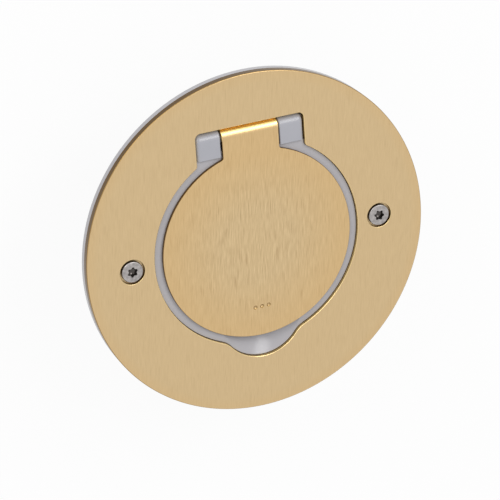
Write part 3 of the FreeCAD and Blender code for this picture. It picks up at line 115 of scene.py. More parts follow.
def softbox(name, toward, distance, width, height, power):
    """A rectangular lamp that faces the box, with its sizes in metres and power in watts."""
    place = Vector(toward).normalized() * distance
    turned = place.to_track_quat("Z", "Y").to_euler()
    bpy.ops.object.light_add(type="AREA", location=place + LOOK_AT, rotation=turned)
    lamp = bpy.context.object
    lamp.name = name
    lamp.data.shape = "RECTANGLE"
    lamp.data.size = width
    lamp.data.size_y = height
    lamp.data.energy = power


softbox("key_softbox", (0.38, 0.50, 0.77), 1.2, 0.40, 0.70, 4.0)
softbox("camera_panel", (-0.50, 0.66, 0.55), 1.4, 0.8, 0.6, 4.0)

# The floor is a plain pale studio sheet. It is far wider than the box, so that its edge shows
# in no view, and it keeps the soft shadow that the box casts.
FLOOR_GLOW_SHARE = 0.93
FLOOR_TONE = 0.86
FLOOR_WIDTH = 30.0
FLOOR_DROP = 0.02
bpy.ops.mesh.primitive_plane_add(size=FLOOR_WIDTH, location=(0, 0, -FLOOR_DROP * MM))
floor = bpy.context.object
floor.name = "studio_floor"


def new_material(name, roughness, metallic=0.0):
    """A material with its shader's even roughness and metallic set, and its node tree."""
    material = bpy.data.materials.new(name)
    material.use_nodes = True
    shader = material.node_tree.nodes["Principled BSDF"]
    shader.inputs["Roughness"].default_value = roughness
    shader.inputs["Metallic"].default_value = metallic
    return material, material.node_tree.nodes, material.node_tree.links, shader


sheet, nodes, links, paint = new_material("pale_sheet", 0.9)
paint.inputs["Base Color"].default_value = (FLOOR_TONE, FLOOR_TONE, FLOOR_TONE, 1.0)
paint.inputs["Specular IOR Level"].default_value = 0.0
glow = nodes.new("ShaderNodeEmission")
glow.inputs["Color"].default_value = (1.0, 1.0, 1.0, 1.0)
mixed = nodes.new("ShaderNodeMixShader")
seen = any_ray(nodes, links, "Is Camera Ray", "Is Glossy Ray")
links.new(calculated(nodes, links, "MULTIPLY", seen, FLOOR_GLOW_SHARE), mixed.inputs["Fac"])
links.new(paint.outputs[0], mixed.inputs[1])
links.new(glow.outputs[0], mixed.inputs[2])
links.new(mixed.outputs[0], nodes["Material Output"].inputs["Surface"])
floor.data.materials.append(sheet)


# The flush box is one grey polypropylene moulding that the screed holds: cup, rim, ears, ribs,
# conduit spigot and thinned knock-outs. Its faces keep the fine spark grain of the mould.
def new_group(name, inputs, outputs):
    """An empty shader node group with named value inputs and outputs."""
    group = bpy.data.node_groups.new(name, "ShaderNodeTree")
    for label, value in inputs:
        socket = group.interface.new_socket(label, in_out="INPUT", socket_type="NodeSocketFloat")
        socket.default_value = value
    for label in outputs:
        group.interface.new_socket(label, in_out="OUTPUT", socket_type="NodeSocketFloat")
    return group, group.nodes.new("NodeGroupInput"), group.nodes.new("NodeGroupOutput")


def group_noise(group, vector, scale, detail):
    """A noise inside a group, on a vector socket, with its scale taken from a socket."""
    noise = group.nodes.new("ShaderNodeTexNoise")
    noise.inputs["Detail"].default_value = detail
    group.links.new(vector, noise.inputs["Vector"])
    group.links.new(scale, noise.inputs["Scale"])
    return noise.outputs["Fac"]


def moulded_grain():
    """Mould grain: broad clouds of colour, the fine grain's height and its gloss."""
    group, entry, leave = new_group(
        "moulded_grain", [("Cloud Scale", 90.0), ("Grain Scale", 4200.0)],
        ["Clouds", "Gloss", "Height"])
    place = group.nodes.new("ShaderNodeTexCoord").outputs["Object"]
    clouds = group_noise(group, place, entry.outputs["Cloud Scale"], 3.0)
    grain = group_noise(group, place, entry.outputs["Grain Scale"], 2.0)
    halved = calculated(group.nodes, group.links, "MULTIPLY", grain, 0.5)
    gloss = calculated(group.nodes, group.links, "MULTIPLY_ADD", clouds, 0.5, halved)
    for label, value in (("Clouds", clouds), ("Gloss", gloss), ("Height", grain)):
        group.links.new(value, leave.inputs[label])
    return group


MOULDED_GRAIN = moulded_grain()
GRAIN_DEPTH = 0.02 * MM


def placed(nodes, group, **values):
    """A group node in a material, with its own values."""
    node = nodes.new("ShaderNodeGroup")
    node.node_tree = group
    for label, value in values.items():
        node.inputs[label.replace("_", " ")].default_value = value
    return node


def linear(red, green, blue):
    """A colour as it shows on a screen, from 0 to 255, as the shader wants it."""
    parts = []
    for value in (red, green, blue):
        share = value / 255
        parts.append(share / 12.92 if share < 0.04045 else ((share + 0.055) / 1.055) ** 2.4)
    return (*parts, 1.0)


def mixed_colour(nodes, links, mask, low, high):
    """A colour that goes from low to high with a mask. Either may be a socket."""
    mix = nodes.new("ShaderNodeMix")
    mix.data_type = "RGBA"
    for index, source in ((0, mask), (6, low), (7, high)):
        feed(links, source, mix.inputs[index])
    return mix.outputs[2]


def spread(nodes, links, noise, reach, low, high):
    """A noise, which keeps within a reach of one half, spread out from low to high."""
    return mapped(nodes, links, noise, 0.5 - reach, 0.5 + reach, low, high)


def bumped(nodes, links, shader, height, depth, strength):
    """A bump of a real depth, in metres, on the shader's normal."""
    bump = nodes.new("ShaderNodeBump")
    bump.inputs["Distance"].default_value = depth
    bump.inputs["Strength"].default_value = strength
    links.new(height, bump.inputs["Height"])
    links.new(bump.outputs[0], shader.inputs["Normal"])


def moulded_plastic(name, dark, light, smooth, rough, bump=0.4, cloud_scale=90.0):
    """A moulded plastic: clouded colour, a gloss that wanders and the grain of the mould."""
    material, nodes, links, shader = new_material(name, rough)
    grain = placed(nodes, MOULDED_GRAIN, Cloud_Scale=cloud_scale)
    colour = mixed_colour(nodes, links, grain.outputs["Clouds"], linear(*dark), linear(*light))
    links.new(colour, shader.inputs["Base Color"])
    gloss = spread(nodes, links, grain.outputs["Gloss"], 0.2, smooth, rough)
    links.new(gloss, shader.inputs["Roughness"])
    bumped(nodes, links, shader, grain.outputs["Height"], GRAIN_DEPTH, bump)
    return material


def dress(node_name, material):
    """Give a part of the frame its finish."""
    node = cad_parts[node_name]
    node.data.materials.clear()
    node.data.materials.append(material)


dress("flush_box",
      moulded_plastic("box_polypropylene", (150, 152, 154), (172, 174, 176), 0.42, 0.6))

# The floor gasket is die-cut from black closed-cell foam. It lies between the frame's flange
# and the finished floor, and its cut edge shows as a soft dark line under the flange.
GASKET_CELL = 0.45 * MM
GASKET_CELL_DEPTH = 0.12 * MM
WELD_GAP = 0.003 * MM


def put_down():
    """Leave edit mode, with nothing selected."""
    if bpy.context.mode != "OBJECT":
        bpy.ops.object.mode_set(mode="OBJECT")
    bpy.ops.object.select_all(action="DESELECT")


def pick_up(*pieces):
    """Leave edit mode, with these pieces alone selected and the first of them active."""
    put_down()
    for piece in pieces:
        piece.select_set(True)
    bpy.context.view_layer.objects.active = pieces[0]


def start_outline(name, x, y, z):
    """Start a new piece as one vertex, in edit mode, at a place in millimetres."""
    put_down()
    bpy.ops.mesh.primitive_plane_add(size=1 * MM)
    piece = bpy.context.object
    piece.name = piece.data.name = name
    bpy.ops.object.mode_set(mode="EDIT")
    bpy.ops.mesh.select_mode(type="VERT")
    bpy.ops.mesh.select_all(action="SELECT")
    bpy.ops.mesh.merge(type="CENTER")
    bpy.ops.transform.translate(value=Vector((x, y, z)) * MM)
    return piece


def draw_line(x=0.0, y=0.0, z=0.0):
    """Carry the outline on by a straight run."""
    run = {"value": Vector((x, y, z)) * MM}
    bpy.ops.mesh.extrude_region_move(TRANSFORM_OT_translate=run)


def draw_arc(centre, turn, axis=(0, 0, 1), step=4.0):
    """Carry the outline, or what is selected, on by an arc, with its turn in degrees."""
    steps = max(2, round(abs(turn) / step))
    bpy.ops.mesh.spin(steps=steps, angle=-radians(turn), center=Vector(centre) * MM, axis=axis)


def weld():
    """Join points that meet, in edit mode, and turn all faces outwards."""
    bpy.ops.mesh.select_all(action="SELECT")
    bpy.ops.mesh.remove_doubles(threshold=WELD_GAP)
    bpy.ops.mesh.normals_make_consistent(inside=False)


def turn_profile(centre, step=3.0):
    """Turn the drawn profile once round the upright axis through a centre."""
    bpy.ops.mesh.select_all(action="SELECT")
    draw_arc(centre, 360, step=step)
    weld()


def apply_modifier(piece, kind, **settings):
    """Add a modifier with its settings and apply it, in object mode."""
    pick_up(piece)
    modifier = piece.modifiers.new(kind.lower(), kind)
    for label, value in settings.items():
        setattr(modifier, label, value)
    bpy.ops.object.modifier_apply(modifier=modifier.name)


def cut_away(piece, *tools):
    """Cut closed tools out of a piece, then drop the tools."""
    for tool in tools:
        apply_modifier(piece, "BOOLEAN", operation="DIFFERENCE", object=tool, solver="EXACT")
        bpy.data.objects.remove(tool)


def shade(piece, angle=35.0):
    """Smooth the curved faces, keep the flat ones flat, and end in object mode."""
    pick_up(piece)
    bpy.ops.object.shade_smooth_by_angle(angle=radians(angle))
    apply_modifier(piece, "WEIGHTED_NORMAL", weight=100, keep_sharp=True)


def finish_piece(piece, node_name, body, material):
    """Stand a modelled piece in for its part of the frame."""
    piece.data.materials.clear()
    piece.data.materials.append(material)
    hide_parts(node_name)
    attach(piece, body)


def closed_cell_foam():
    """Black foam with burst cells of about half a millimetre."""
    material, nodes, links, shader = new_material("closed_cell_foam", 0.85)
    place = nodes.new("ShaderNodeTexCoord").outputs["Object"]
    cells = nodes.new("ShaderNodeTexVoronoi")
    cells.inputs["Scale"].default_value = 1 / GASKET_CELL
    links.new(place, cells.inputs["Vector"])
    grain = placed(nodes, MOULDED_GRAIN, Grain_Scale=2600.0)
    colour = mixed_colour(nodes, links, cells.outputs["Distance"], linear(30, 30, 31),
                          linear(62, 62, 64))
    links.new(colour, shader.inputs["Base Color"])
    links.new(spread(nodes, links, grain.outputs["Gloss"], 0.2, 0.7, 0.95),
              shader.inputs["Roughness"])
    bumped(nodes, links, shader, cells.outputs["Distance"], GASKET_CELL_DEPTH, 0.6)
    return material


def close_prism(**run):
    """Close the drawn outline with a face and pull it to a solid, in edit mode."""
    bpy.ops.mesh.select_all(action="SELECT")
    bpy.ops.mesh.remove_doubles(threshold=WELD_GAP)
    bpy.ops.mesh.edge_face_add()
    draw_line(**run)
    weld()


def mirror_outline(piece):
    """Mirror the drawn half outline across the middle plane and go on in edit mode."""
    apply_modifier(piece, "MIRROR", use_axis=(True, False, False), merge_threshold=WELD_GAP)
    bpy.ops.object.mode_set(mode="EDIT")


def cylinder_tool(x, y, low, high, radius):
    """A cutting cylinder that stands upright, with its sizes in millimetres."""
    put_down()
    middle = Vector((x, y, (low + high) / 2)) * MM
    bpy.ops.mesh.primitive_cylinder_add(vertices=64, radius=radius * MM,
                                        depth=(high - low) * MM, location=middle)
    return bpy.context.object


SEAL_OUTER = 60.5
SEAL_LOW = 43.1
SEAL_THICK = 1.0
SEAL_OPENING = 42.7
SEAL_EDGE_ROUND = 0.35
HINGE_POCKET_HALF = 22.25
HINGE_POCKET_END = 47.8
COVER_SCREW_X = 48.0
SCREW_HOLE = 2.25
CUT_PAST = 1.0
gasket = start_outline("foam_gasket", 0, 0, SEAL_LOW)
draw_line(x=SEAL_OUTER - SEAL_EDGE_ROUND)
draw_arc((SEAL_OUTER - SEAL_EDGE_ROUND, 0, SEAL_LOW + SEAL_EDGE_ROUND), -90, (0, 1, 0), 30)
draw_line(z=SEAL_THICK - 2 * SEAL_EDGE_ROUND)
draw_arc((SEAL_OUTER - SEAL_EDGE_ROUND, 0, SEAL_LOW + SEAL_THICK - SEAL_EDGE_ROUND), -90,
         (0, 1, 0), 30)
draw_line(x=-(SEAL_OUTER - SEAL_EDGE_ROUND))
turn_profile((0, 0, 0), 2)
corner_bearing = degrees(atan2(sqrt(SEAL_OPENING ** 2 - HINGE_POCKET_HALF ** 2),
                               HINGE_POCKET_HALF))
opening = start_outline("gasket_opening", 0, -SEAL_OPENING, SEAL_LOW - CUT_PAST)
draw_arc((0, 0, 0), 90 + corner_bearing, step=2)
draw_line(y=HINGE_POCKET_END - SEAL_OPENING * sin(radians(corner_bearing)))
draw_line(x=-HINGE_POCKET_HALF)
mirror_outline(opening)
close_prism(z=SEAL_THICK + 2 * CUT_PAST)
holes = [cylinder_tool(side * COVER_SCREW_X, 0, SEAL_LOW - CUT_PAST,
                       SEAL_LOW + SEAL_THICK + CUT_PAST, SCREW_HOLE) for side in (-1, 1)]
cut_away(gasket, opening, *holes)
shade(gasket)
finish_piece(gasket, "floor_seal", "housing", closed_cell_foam())

# The support frame is one glass-filled polyamide moulding: the flange under the cover, the
# ring round the lid, the finger scoop, the hinge seats and the collar that drops into the cup.
FRAME_GREY = moulded_plastic("frame_polyamide", (173, 171, 175), (182, 180, 184), 0.18, 0.27, 0.2)
dress("support_frame", FRAME_GREY)

# The socket's base is black phenolic resin. It holds two sprung bronze contacts and the earth
# strap in its slots, and a cover held by two screws closes it from below.
BASE_BLACK = moulded_plastic("base_resin", (26, 26, 28), (38, 38, 40), 0.35, 0.55, 0.3)
dress("contact_base", BASE_BLACK)
dress("base_cover", BASE_BLACK)


def stamped_group():
    """Marks of stamping and rolling on bare metal: long stripes, spots and a fine height."""
    group, entry, leave = new_group(
        "stamped_metal", [("Stripe Scale", 900.0), ("Spot Scale", 260.0)],
        ["Stripes", "Spots", "Height"])
    place = group.nodes.new("ShaderNodeTexCoord").outputs["Object"]
    stretch = group.nodes.new("ShaderNodeMapping")
    stretch.inputs["Scale"].default_value = (1.0, 1.0, 0.12)
    group.links.new(place, stretch.inputs["Vector"])
    stripes = group_noise(group, stretch.outputs[0], entry.outputs["Stripe Scale"], 2.0)
    spots = group_noise(group, place, entry.outputs["Spot Scale"], 4.0)
    group.links.new(stripes, leave.inputs["Stripes"])
    group.links.new(spots, leave.inputs["Spots"])
    group.links.new(stripes, leave.inputs["Height"])
    return group


STAMPED_METAL = stamped_group()
ROLLING_DEPTH = 0.01 * MM


def bare_metal(name, dull, bright, smooth, rough, bump=0.3):
    """A plated or stamped metal part, with tarnished spots and fine rolling marks."""
    material, nodes, links, shader = new_material(name, rough, metallic=1.0)
    marks = placed(nodes, STAMPED_METAL)
    mask = spread(nodes, links, marks.outputs["Spots"], 0.15, 0.0, 1.0)
    links.new(mixed_colour(nodes, links, mask, linear(*dull), linear(*bright)),
              shader.inputs["Base Color"])
    links.new(spread(nodes, links, marks.outputs["Stripes"], 0.15, smooth, rough),
              shader.inputs["Roughness"])
    bumped(nodes, links, shader, marks.outputs["Height"], ROLLING_DEPTH, bump)
    return material


BRONZE = bare_metal("contact_bronze", (172, 118, 66), (206, 152, 92), 0.22, 0.4)
dress("left_line_contact", BRONZE)
dress("right_line_contact", BRONZE)
dress("earth_strap",
      bare_metal("nickelled_strip", (176, 172, 160), (205, 202, 192), 0.15, 0.3))

# The three terminals are cut from drawn brass bar and cross-drilled for the wires. A zinc-plated
# screw in the outer face of each clamps the wire.
TERMINAL_BRASS = bare_metal("drawn_brass", (188, 150, 84), (218, 184, 112), 0.2, 0.36)
for name in ("left_terminal", "right_terminal", "earth_terminal"):
    dress(name, TERMINAL_BRASS)
ZINC_PLATE = bare_metal("zinc_plate", (150, 149, 146), (186, 185, 181), 0.22, 0.4)
for name in ("terminal_screws", "base_screws", "socket_screws", "cap_screws"):
    dress(name, ZINC_PLATE)

# The socket face is a glossy pale moulding with the plug recess and two contact holes. The
# shutter under it turns against a small wire spring and closes both holes.
dress("socket_face",
      moulded_plastic("socket_polycarbonate", (196, 197, 198), (207, 208, 209), 0.2, 0.3, 0.15))
dress("shutter",
      moulded_plastic("shutter_acetal", (170, 170, 176), (184, 184, 190), 0.3, 0.4, 0.2))
SPRING_WIRE = bare_metal("spring_wire", (132, 134, 138), (176, 178, 182), 0.18, 0.34)
dress("shutter_spring", SPRING_WIRE)

# The hinge turns on a ground steel pin. Two acetal bushes in the lid's rolled barrel run on it,
# with the closing spring between them, and a moulded cap holds down each end of the pin.
dress("hinge_pin",
      bare_metal("ground_steel", (160, 161, 163), (190, 191, 193), 0.12, 0.24))
BUSH_WHITE = moulded_plastic("bush_acetal", (212, 211, 205), (224, 223, 218), 0.35, 0.5, 0.2)
dress("left_hinge_bush", BUSH_WHITE)
dress("right_hinge_bush", BUSH_WHITE)
dress("hinge_spring", SPRING_WIRE)


# Each hinge cap is a small glossy polyamide moulding that holds down one end of the pin. Its
# top rolls down behind about the hinge axis, and a screw from below pulls it to the frame.
HINGE_Y = 42.4
HINGE_Z = 45.5
CAP_TOP = 48.65
CAP_FRONT = 35.6
CAP_INNER = 11.3
CAP_WIDTH = 9.25
CAP_OUTER_ROUND = 1.7
CAP_INNER_ROUND = 0.45
CAP_FRONT_ROUND = 0.28
PIN_GROOVE = 1.3
PIN_HALF = 19.5
CAP_PILOT = 1.1
CAP_PILOT_Y = 38.1
CAP_PILOT_X = 15.85
CAP_PILOT_DEPTH = 1.9
CAP_EDGE_FROM = 1.0
FOLD_ANGLE = 50
ON_FACE = 0.01


def select_edges(piece, test):
    """In edit mode, select the folded edges whose ends pass a test, in millimetres."""
    bpy.ops.mesh.select_mode(type="EDGE")
    bpy.ops.mesh.select_all(action="DESELECT")
    mesh = bmesh.from_edit_mesh(piece.data)
    for edge in mesh.edges:
        folded = edge.calc_face_angle(0.0) > radians(FOLD_ANGLE)
        if folded and all(test(end.co / MM) for end in edge.verts):
            edge.select_set(True)
    bmesh.update_edit_mesh(piece.data)


def select_faces(piece, test):
    """In edit mode, select the faces whose points all pass a test, in millimetres."""
    bpy.ops.mesh.select_mode(type="FACE")
    bpy.ops.mesh.select_all(action="DESELECT")
    mesh = bmesh.from_edit_mesh(piece.data)
    for face in mesh.faces:
        if all(test(corner.co / MM) for corner in face.verts):
            face.select_set(True)
    bmesh.update_edit_mesh(piece.data)


def round_edges(width, segments):
    """Round the selected edges, in edit mode."""
    bpy.ops.mesh.bevel(offset=width * MM, offset_type="OFFSET", segments=segments, profile=0.5,
                       affect="EDGES", clamp_overlap=True)


def hinge_cap(name, side):
    """One cap, drawn from its side and pulled outwards along the pin."""
    cap = start_outline(name, side * CAP_INNER, CAP_FRONT, HINGE_Z)
    draw_line(z=CAP_TOP - HINGE_Z)
    draw_line(y=HINGE_Y - CAP_FRONT)
    draw_arc((side * CAP_INNER, HINGE_Y, HINGE_Z), -90, (1, 0, 0), 6)
    draw_line(y=CAP_FRONT - HINGE_Y - CAP_TOP + HINGE_Z)
    close_prism(x=side * CAP_WIDTH)
    outer = CAP_INNER + CAP_WIDTH
    select_edges(cap, lambda p: abs(p.x) > outer - ON_FACE
                 and (p.z > HINGE_Z + ON_FACE or p.y > HINGE_Y and p.z > HINGE_Z - ON_FACE))
    round_edges(CAP_OUTER_ROUND, 7)
    select_edges(cap, lambda p: abs(p.x) < CAP_INNER + ON_FACE
                 and (p.z > HINGE_Z + ON_FACE or p.y > HINGE_Y) and p.y > CAP_FRONT - ON_FACE)
    round_edges(CAP_INNER_ROUND, 4)
    select_edges(cap, lambda p: p.y < CAP_FRONT + ON_FACE and p.z > HINGE_Z + CAP_EDGE_FROM)
    round_edges(CAP_FRONT_ROUND, 3)
    put_down()
    middle = Vector((side * PIN_HALF / 2, HINGE_Y, HINGE_Z)) * MM
    bpy.ops.mesh.primitive_cylinder_add(vertices=48, radius=PIN_GROOVE * MM,
                                        depth=PIN_HALF * MM, location=middle,
                                        rotation=(0, radians(90), 0))
    groove = bpy.context.object
    pilot = cylinder_tool(side * CAP_PILOT_X, CAP_PILOT_Y, HINGE_Z - CUT_PAST,
                          HINGE_Z + CAP_PILOT_DEPTH, CAP_PILOT)
    cut_away(cap, groove, pilot)
    shade(cap)
    return cap


CAP_GREY = moulded_plastic("cap_polyamide", (164, 165, 172), (175, 175, 182), 0.16, 0.26, 0.15)
for name, side in (("left", -1), ("right", 1)):
    finish_piece(hinge_cap(name + "_cap_moulding", side), name + "_hinge_cap", "housing",
                 CAP_GREY)

# The lid is rolled brass sheet, brushed nearly square to the hinge and lacquered. Its tongue is
# curled into the hinge barrel, and three studs welded under it take the backing.
LID_TOP = 49.0
LID_THICK = 1.2
LID_RADIUS = 36.3
TONGUE_HALF = 10.8
TONGUE_BLEND = 1.0
LID_EDGE_ROUND = 0.25
BARREL_RADIUS = 3.5
BARREL_WRAP = 300
STUD_RADIUS = 1.5
STUD_CIRCLE = 23.0
STUD_END = 44.4
DIMPLE_RADIUS = 0.95
DIMPLE_DEPTH = 0.4
DIMPLE_PITCH = 2.6
DIMPLE_Y = -25.0
STUD_FOOT = 0.3
STUD_SINK = 0.2
STUD_CHAMFER = 0.25
STUD_PLACES = [(STUD_CIRCLE * cos(radians(bearing)), STUD_CIRCLE * sin(radians(bearing)))
               for bearing in (90, 210, 330)]
BRUSH_TURN = radians(5.0)
BRUSH_DEPTH = 0.004 * MM
BRASS_DARK = (184, 157, 116)
BRASS_LIGHT = (223, 198, 155)
BRASS_WARM = (208, 174, 122)
BRASS_SCRATCH = (160, 130, 92)
BARREL_BRIGHT = (232, 200, 134)
DASH_SHARE = 0.45
SCRATCH_SHARE = 0.8
MASK_FADE = 1.0
EDGE_GLOSS = 0.26


def brushed_streaks():
    """The brush's marks, nearly along Y: a fine grain, short dashes and rare dark scratches."""
    group, entry, leave = new_group(
        "brushed_streaks", [("Across", 3400.0), ("Along", 120.0)],
        ["Grain", "Dashes", "Scratches"])
    turned = group.nodes.new("ShaderNodeMapping")
    turned.inputs["Rotation"].default_value = (0.0, 0.0, BRUSH_TURN)
    group.links.new(group.nodes.new("ShaderNodeTexCoord").outputs["Object"],
                    turned.inputs["Vector"])
    split = group.nodes.new("ShaderNodeSeparateXYZ")
    group.links.new(turned.outputs[0], split.inputs[0])

    def stretched(across_share, along_share, detail):
        """Noise drawn out along Y, at a share of the group's two scales."""
        joined = group.nodes.new("ShaderNodeCombineXYZ")
        for axis, source, factor in (("X", "Across", across_share), ("Y", "Along", along_share)):
            scale = calculated(group.nodes, group.links, "MULTIPLY", entry.outputs[source], factor)
            place = calculated(group.nodes, group.links, "MULTIPLY", split.outputs[axis], scale)
            group.links.new(place, joined.inputs[axis])
        noise = group.nodes.new("ShaderNodeTexNoise")
        noise.inputs["Scale"].default_value = 1.0
        noise.inputs["Detail"].default_value = detail
        group.links.new(joined.outputs[0], noise.inputs["Vector"])
        return noise.outputs["Fac"]

    group.links.new(stretched(1.0, 1.0, 3.0), leave.inputs["Grain"])
    group.links.new(stretched(0.9, 2.0, 2.0), leave.inputs["Dashes"])
    rare = mapped(group.nodes, group.links, stretched(0.8, 0.9, 1.0), 0.62, 0.72, 0.0, 1.0)
    group.links.new(rare, leave.inputs["Scratches"])
    return group


BRUSHED_STREAKS = brushed_streaks()


def sheet_faces():
    """Where a sheet of brass has its cut wall, and where it has its rounded edge."""
    group, entry, leave = new_group(
        "sheet_faces", [("Wall Tilt", 0.35), ("Edge Tilt", 0.96)], ["Wall", "Edge"])
    split = group.nodes.new("ShaderNodeSeparateXYZ")
    group.links.new(group.nodes.new("ShaderNodeTexCoord").outputs["Normal"], split.inputs[0])
    upright = calculated(group.nodes, group.links, "ABSOLUTE", split.outputs["Z"])
    for label, fade in (("Wall", 0.25), ("Edge", 0.1)):
        tilt = entry.outputs[label + " Tilt"]
        full = calculated(group.nodes, group.links, "SUBTRACT", tilt, fade)
        group.links.new(mapped(group.nodes, group.links, upright, tilt, full, 0.0, 1.0),
                        leave.inputs[label])
    return group


SHEET_FACES = sheet_faces()


def brushed_brass(name, streak_share, warm_start, warm_end, warm_share, edges, walls, wall_shade_x,
                  barrel_y):
    """Lacquered brushed brass. From one radius to another its face warms, and its rounded edges
    and cut walls go from their first colour to their second, as the walls also do past a
    distance from the middle plane: pale edge colours are a painted highlight, dark edge and
    wall colours painted shade. Past a place along Y both are the barrel's bright metal."""
    material, nodes, links, shader = new_material(name, 0.36, metallic=1.0)
    streaks = placed(nodes, BRUSHED_STREAKS)
    faces = placed(nodes, SHEET_FACES)
    grain = spread(nodes, links, streaks.outputs["Grain"], 0.16, 0.0, 1.0)
    dashes = spread(nodes, links, streaks.outputs["Dashes"], 0.14, 0.0, 1.0)
    fine = calculated(nodes, links, "MULTIPLY", grain, 1 - DASH_SHARE)
    drift = calculated(nodes, links, "MULTIPLY_ADD", dashes, DASH_SHARE, fine)
    streaked = mapped(nodes, links, drift, 0.0, 1.0, 0.5 - streak_share / 2,
                      0.5 + streak_share / 2)
    colour = mixed_colour(nodes, links, streaked, linear(*BRASS_DARK), linear(*BRASS_LIGHT))
    marks = calculated(nodes, links, "MULTIPLY", streaks.outputs["Scratches"],
                       SCRATCH_SHARE * streak_share)
    colour = mixed_colour(nodes, links, marks, colour, linear(*BRASS_SCRATCH))
    flat = nodes.new("ShaderNodeMapping")
    flat.inputs["Scale"].default_value = (1.0, 1.0, 0.0)
    links.new(nodes.new("ShaderNodeTexCoord").outputs["Object"], flat.inputs["Vector"])
    distance = nodes.new("ShaderNodeVectorMath")
    distance.operation = "LENGTH"
    links.new(flat.outputs[0], distance.inputs[0])
    outward = mapped(nodes, links, distance.outputs["Value"], warm_start * MM, warm_end * MM, 0.0,
                     1.0)
    warm = calculated(nodes, links, "MULTIPLY", outward, warm_share)
    colour = mixed_colour(nodes, links, warm, colour, linear(*BRASS_WARM))
    split = nodes.new("ShaderNodeSeparateXYZ")
    links.new(flat.outputs[0], split.inputs[0])
    # Walls past a distance from the middle plane, and walls further out, take their second and
    # darker colour: painted shade.
    sideways = calculated(nodes, links, "ABSOLUTE", split.outputs["X"])
    aside = mapped(nodes, links, sideways, wall_shade_x * MM, (wall_shade_x + MASK_FADE) * MM, 0.0,
                   1.0)
    wall_shade = calculated(nodes, links, "MAXIMUM", aside, outward)
    barrel = mapped(nodes, links, split.outputs["Y"], (barrel_y - MASK_FADE) * MM,
                    barrel_y * MM, 0.0, 1.0)
    for label, (first, second), mask in (("Edge", edges, outward), ("Wall", walls, wall_shade)):
        tone = mixed_colour(nodes, links, mask, linear(*first), linear(*second))
        tone = mixed_colour(nodes, links, barrel, tone, linear(*BARREL_BRIGHT))
        colour = mixed_colour(nodes, links, faces.outputs[label], colour, tone)
    links.new(colour, shader.inputs["Base Color"])
    gloss = mapped(nodes, links, grain, 0.0, 1.0, 0.33, 0.41)
    links.new(mapped(nodes, links, faces.outputs["Edge"], 0.0, 1.0, gloss, EDGE_GLOSS),
              shader.inputs["Roughness"])
    bumped(nodes, links, shader, streaks.outputs["Grain"], BRUSH_DEPTH, 0.5 * streak_share)
    return material


lid = start_outline("brass_lid", 0, -LID_RADIUS, LID_TOP - LID_THICK)
blend_x = TONGUE_HALF + TONGUE_BLEND
blend_y = sqrt((LID_RADIUS + TONGUE_BLEND) ** 2 - blend_x ** 2)
blend_bearing = degrees(atan2(blend_y, blend_x))
draw_arc((0, 0, 0), 90 + blend_bearing, step=1.5)
draw_arc((blend_x, blend_y, 0), -blend_bearing, step=12)
draw_line(y=HINGE_Y - blend_y)
draw_line(x=-TONGUE_HALF)
mirror_outline(lid)
close_prism(z=LID_THICK)
select_faces(lid, lambda p: p.y > HINGE_Y - ON_FACE)
draw_arc((0, HINGE_Y, HINGE_Z), -BARREL_WRAP, axis=(1, 0, 0), step=5)
weld()
select_edges(lid, lambda p: (p.z > LID_TOP - ON_FACE and p.y < HINGE_Y + ON_FACE)
             or hypot(p.y - HINGE_Y, p.z - HINGE_Z) > BARREL_RADIUS - ON_FACE and p.z < LID_TOP
             and p.y > HINGE_Y - BARREL_RADIUS - ON_FACE)
round_edges(LID_EDGE_ROUND, 3)
for index in (-1, 0, 1):
    put_down()
    middle = Vector((index * DIMPLE_PITCH, DIMPLE_Y, LID_TOP + DIMPLE_RADIUS - DIMPLE_DEPTH)) * MM
    bpy.ops.mesh.primitive_uv_sphere_add(segments=40, ring_count=20, radius=DIMPLE_RADIUS * MM,
                                         location=middle)
    cut_away(lid, bpy.context.object)
for x, y in STUD_PLACES:
    stud = start_outline("lid_stud", x, y, LID_TOP - LID_THICK + STUD_SINK)
    draw_line(x=STUD_RADIUS + STUD_FOOT)
    draw_line(z=-STUD_SINK)
    draw_arc((x + STUD_RADIUS + STUD_FOOT, y, LID_TOP - LID_THICK - STUD_FOOT), -90, (0, 1, 0), 30)
    draw_line(z=STUD_END + STUD_CHAMFER - LID_TOP + LID_THICK + STUD_FOOT)
    draw_line(x=-STUD_CHAMFER, z=-STUD_CHAMFER)
    draw_line(x=STUD_CHAMFER - STUD_RADIUS)
    turn_profile((x, y, 0), 10)
    apply_modifier(lid, "BOOLEAN", operation="UNION", object=stud, solver="EXACT")
    bpy.data.objects.remove(stud)
shade(lid)
# The lid's rounded edges and cut walls are painted darker than its face: painted shade along its
# rim, in its dimples and on its cut sides.
finish_piece(lid, "lid_plate", "lid",
             brushed_brass("lid_brass", streak_share=0.68, warm_start=14.0, warm_end=34.0,
                           warm_share=0.55, edges=((188, 158, 108), (138, 110, 70)),
                           walls=((120, 90, 48), (120, 90, 48)), wall_shade_x=LID_RADIUS,
                           barrel_y=HINGE_Y))

# The backing is a ribbed polyamide moulding under the lid. Its groove holds an extruded rubber
# ring whose round bulb closes on the frame's seat, and push-on nuts keep it on the studs.
dress("lid_backing", FRAME_GREY)
SEAL_RING_OUTER = 32.0
SEAL_RING_INNER = 29.1
SEAL_RING_TOP = 46.2
SEAL_BULB_Z = 44.45
SEAL_NICK_Z = 45.3
SEAL_NICK = 0.25


def rubber(name):
    """Black rubber: a matt skin with faint bloom and flow marks."""
    material, nodes, links, shader = new_material(name, 0.6)
    grain = placed(nodes, MOULDED_GRAIN, Cloud_Scale=240.0, Grain_Scale=3000.0)
    links.new(mixed_colour(nodes, links, grain.outputs["Clouds"], linear(24, 24, 25),
                           linear(48, 48, 50)), shader.inputs["Base Color"])
    links.new(spread(nodes, links, grain.outputs["Gloss"], 0.2, 0.42, 0.7),
              shader.inputs["Roughness"])
    bumped(nodes, links, shader, grain.outputs["Height"], GRAIN_DEPTH, 0.5)
    return material


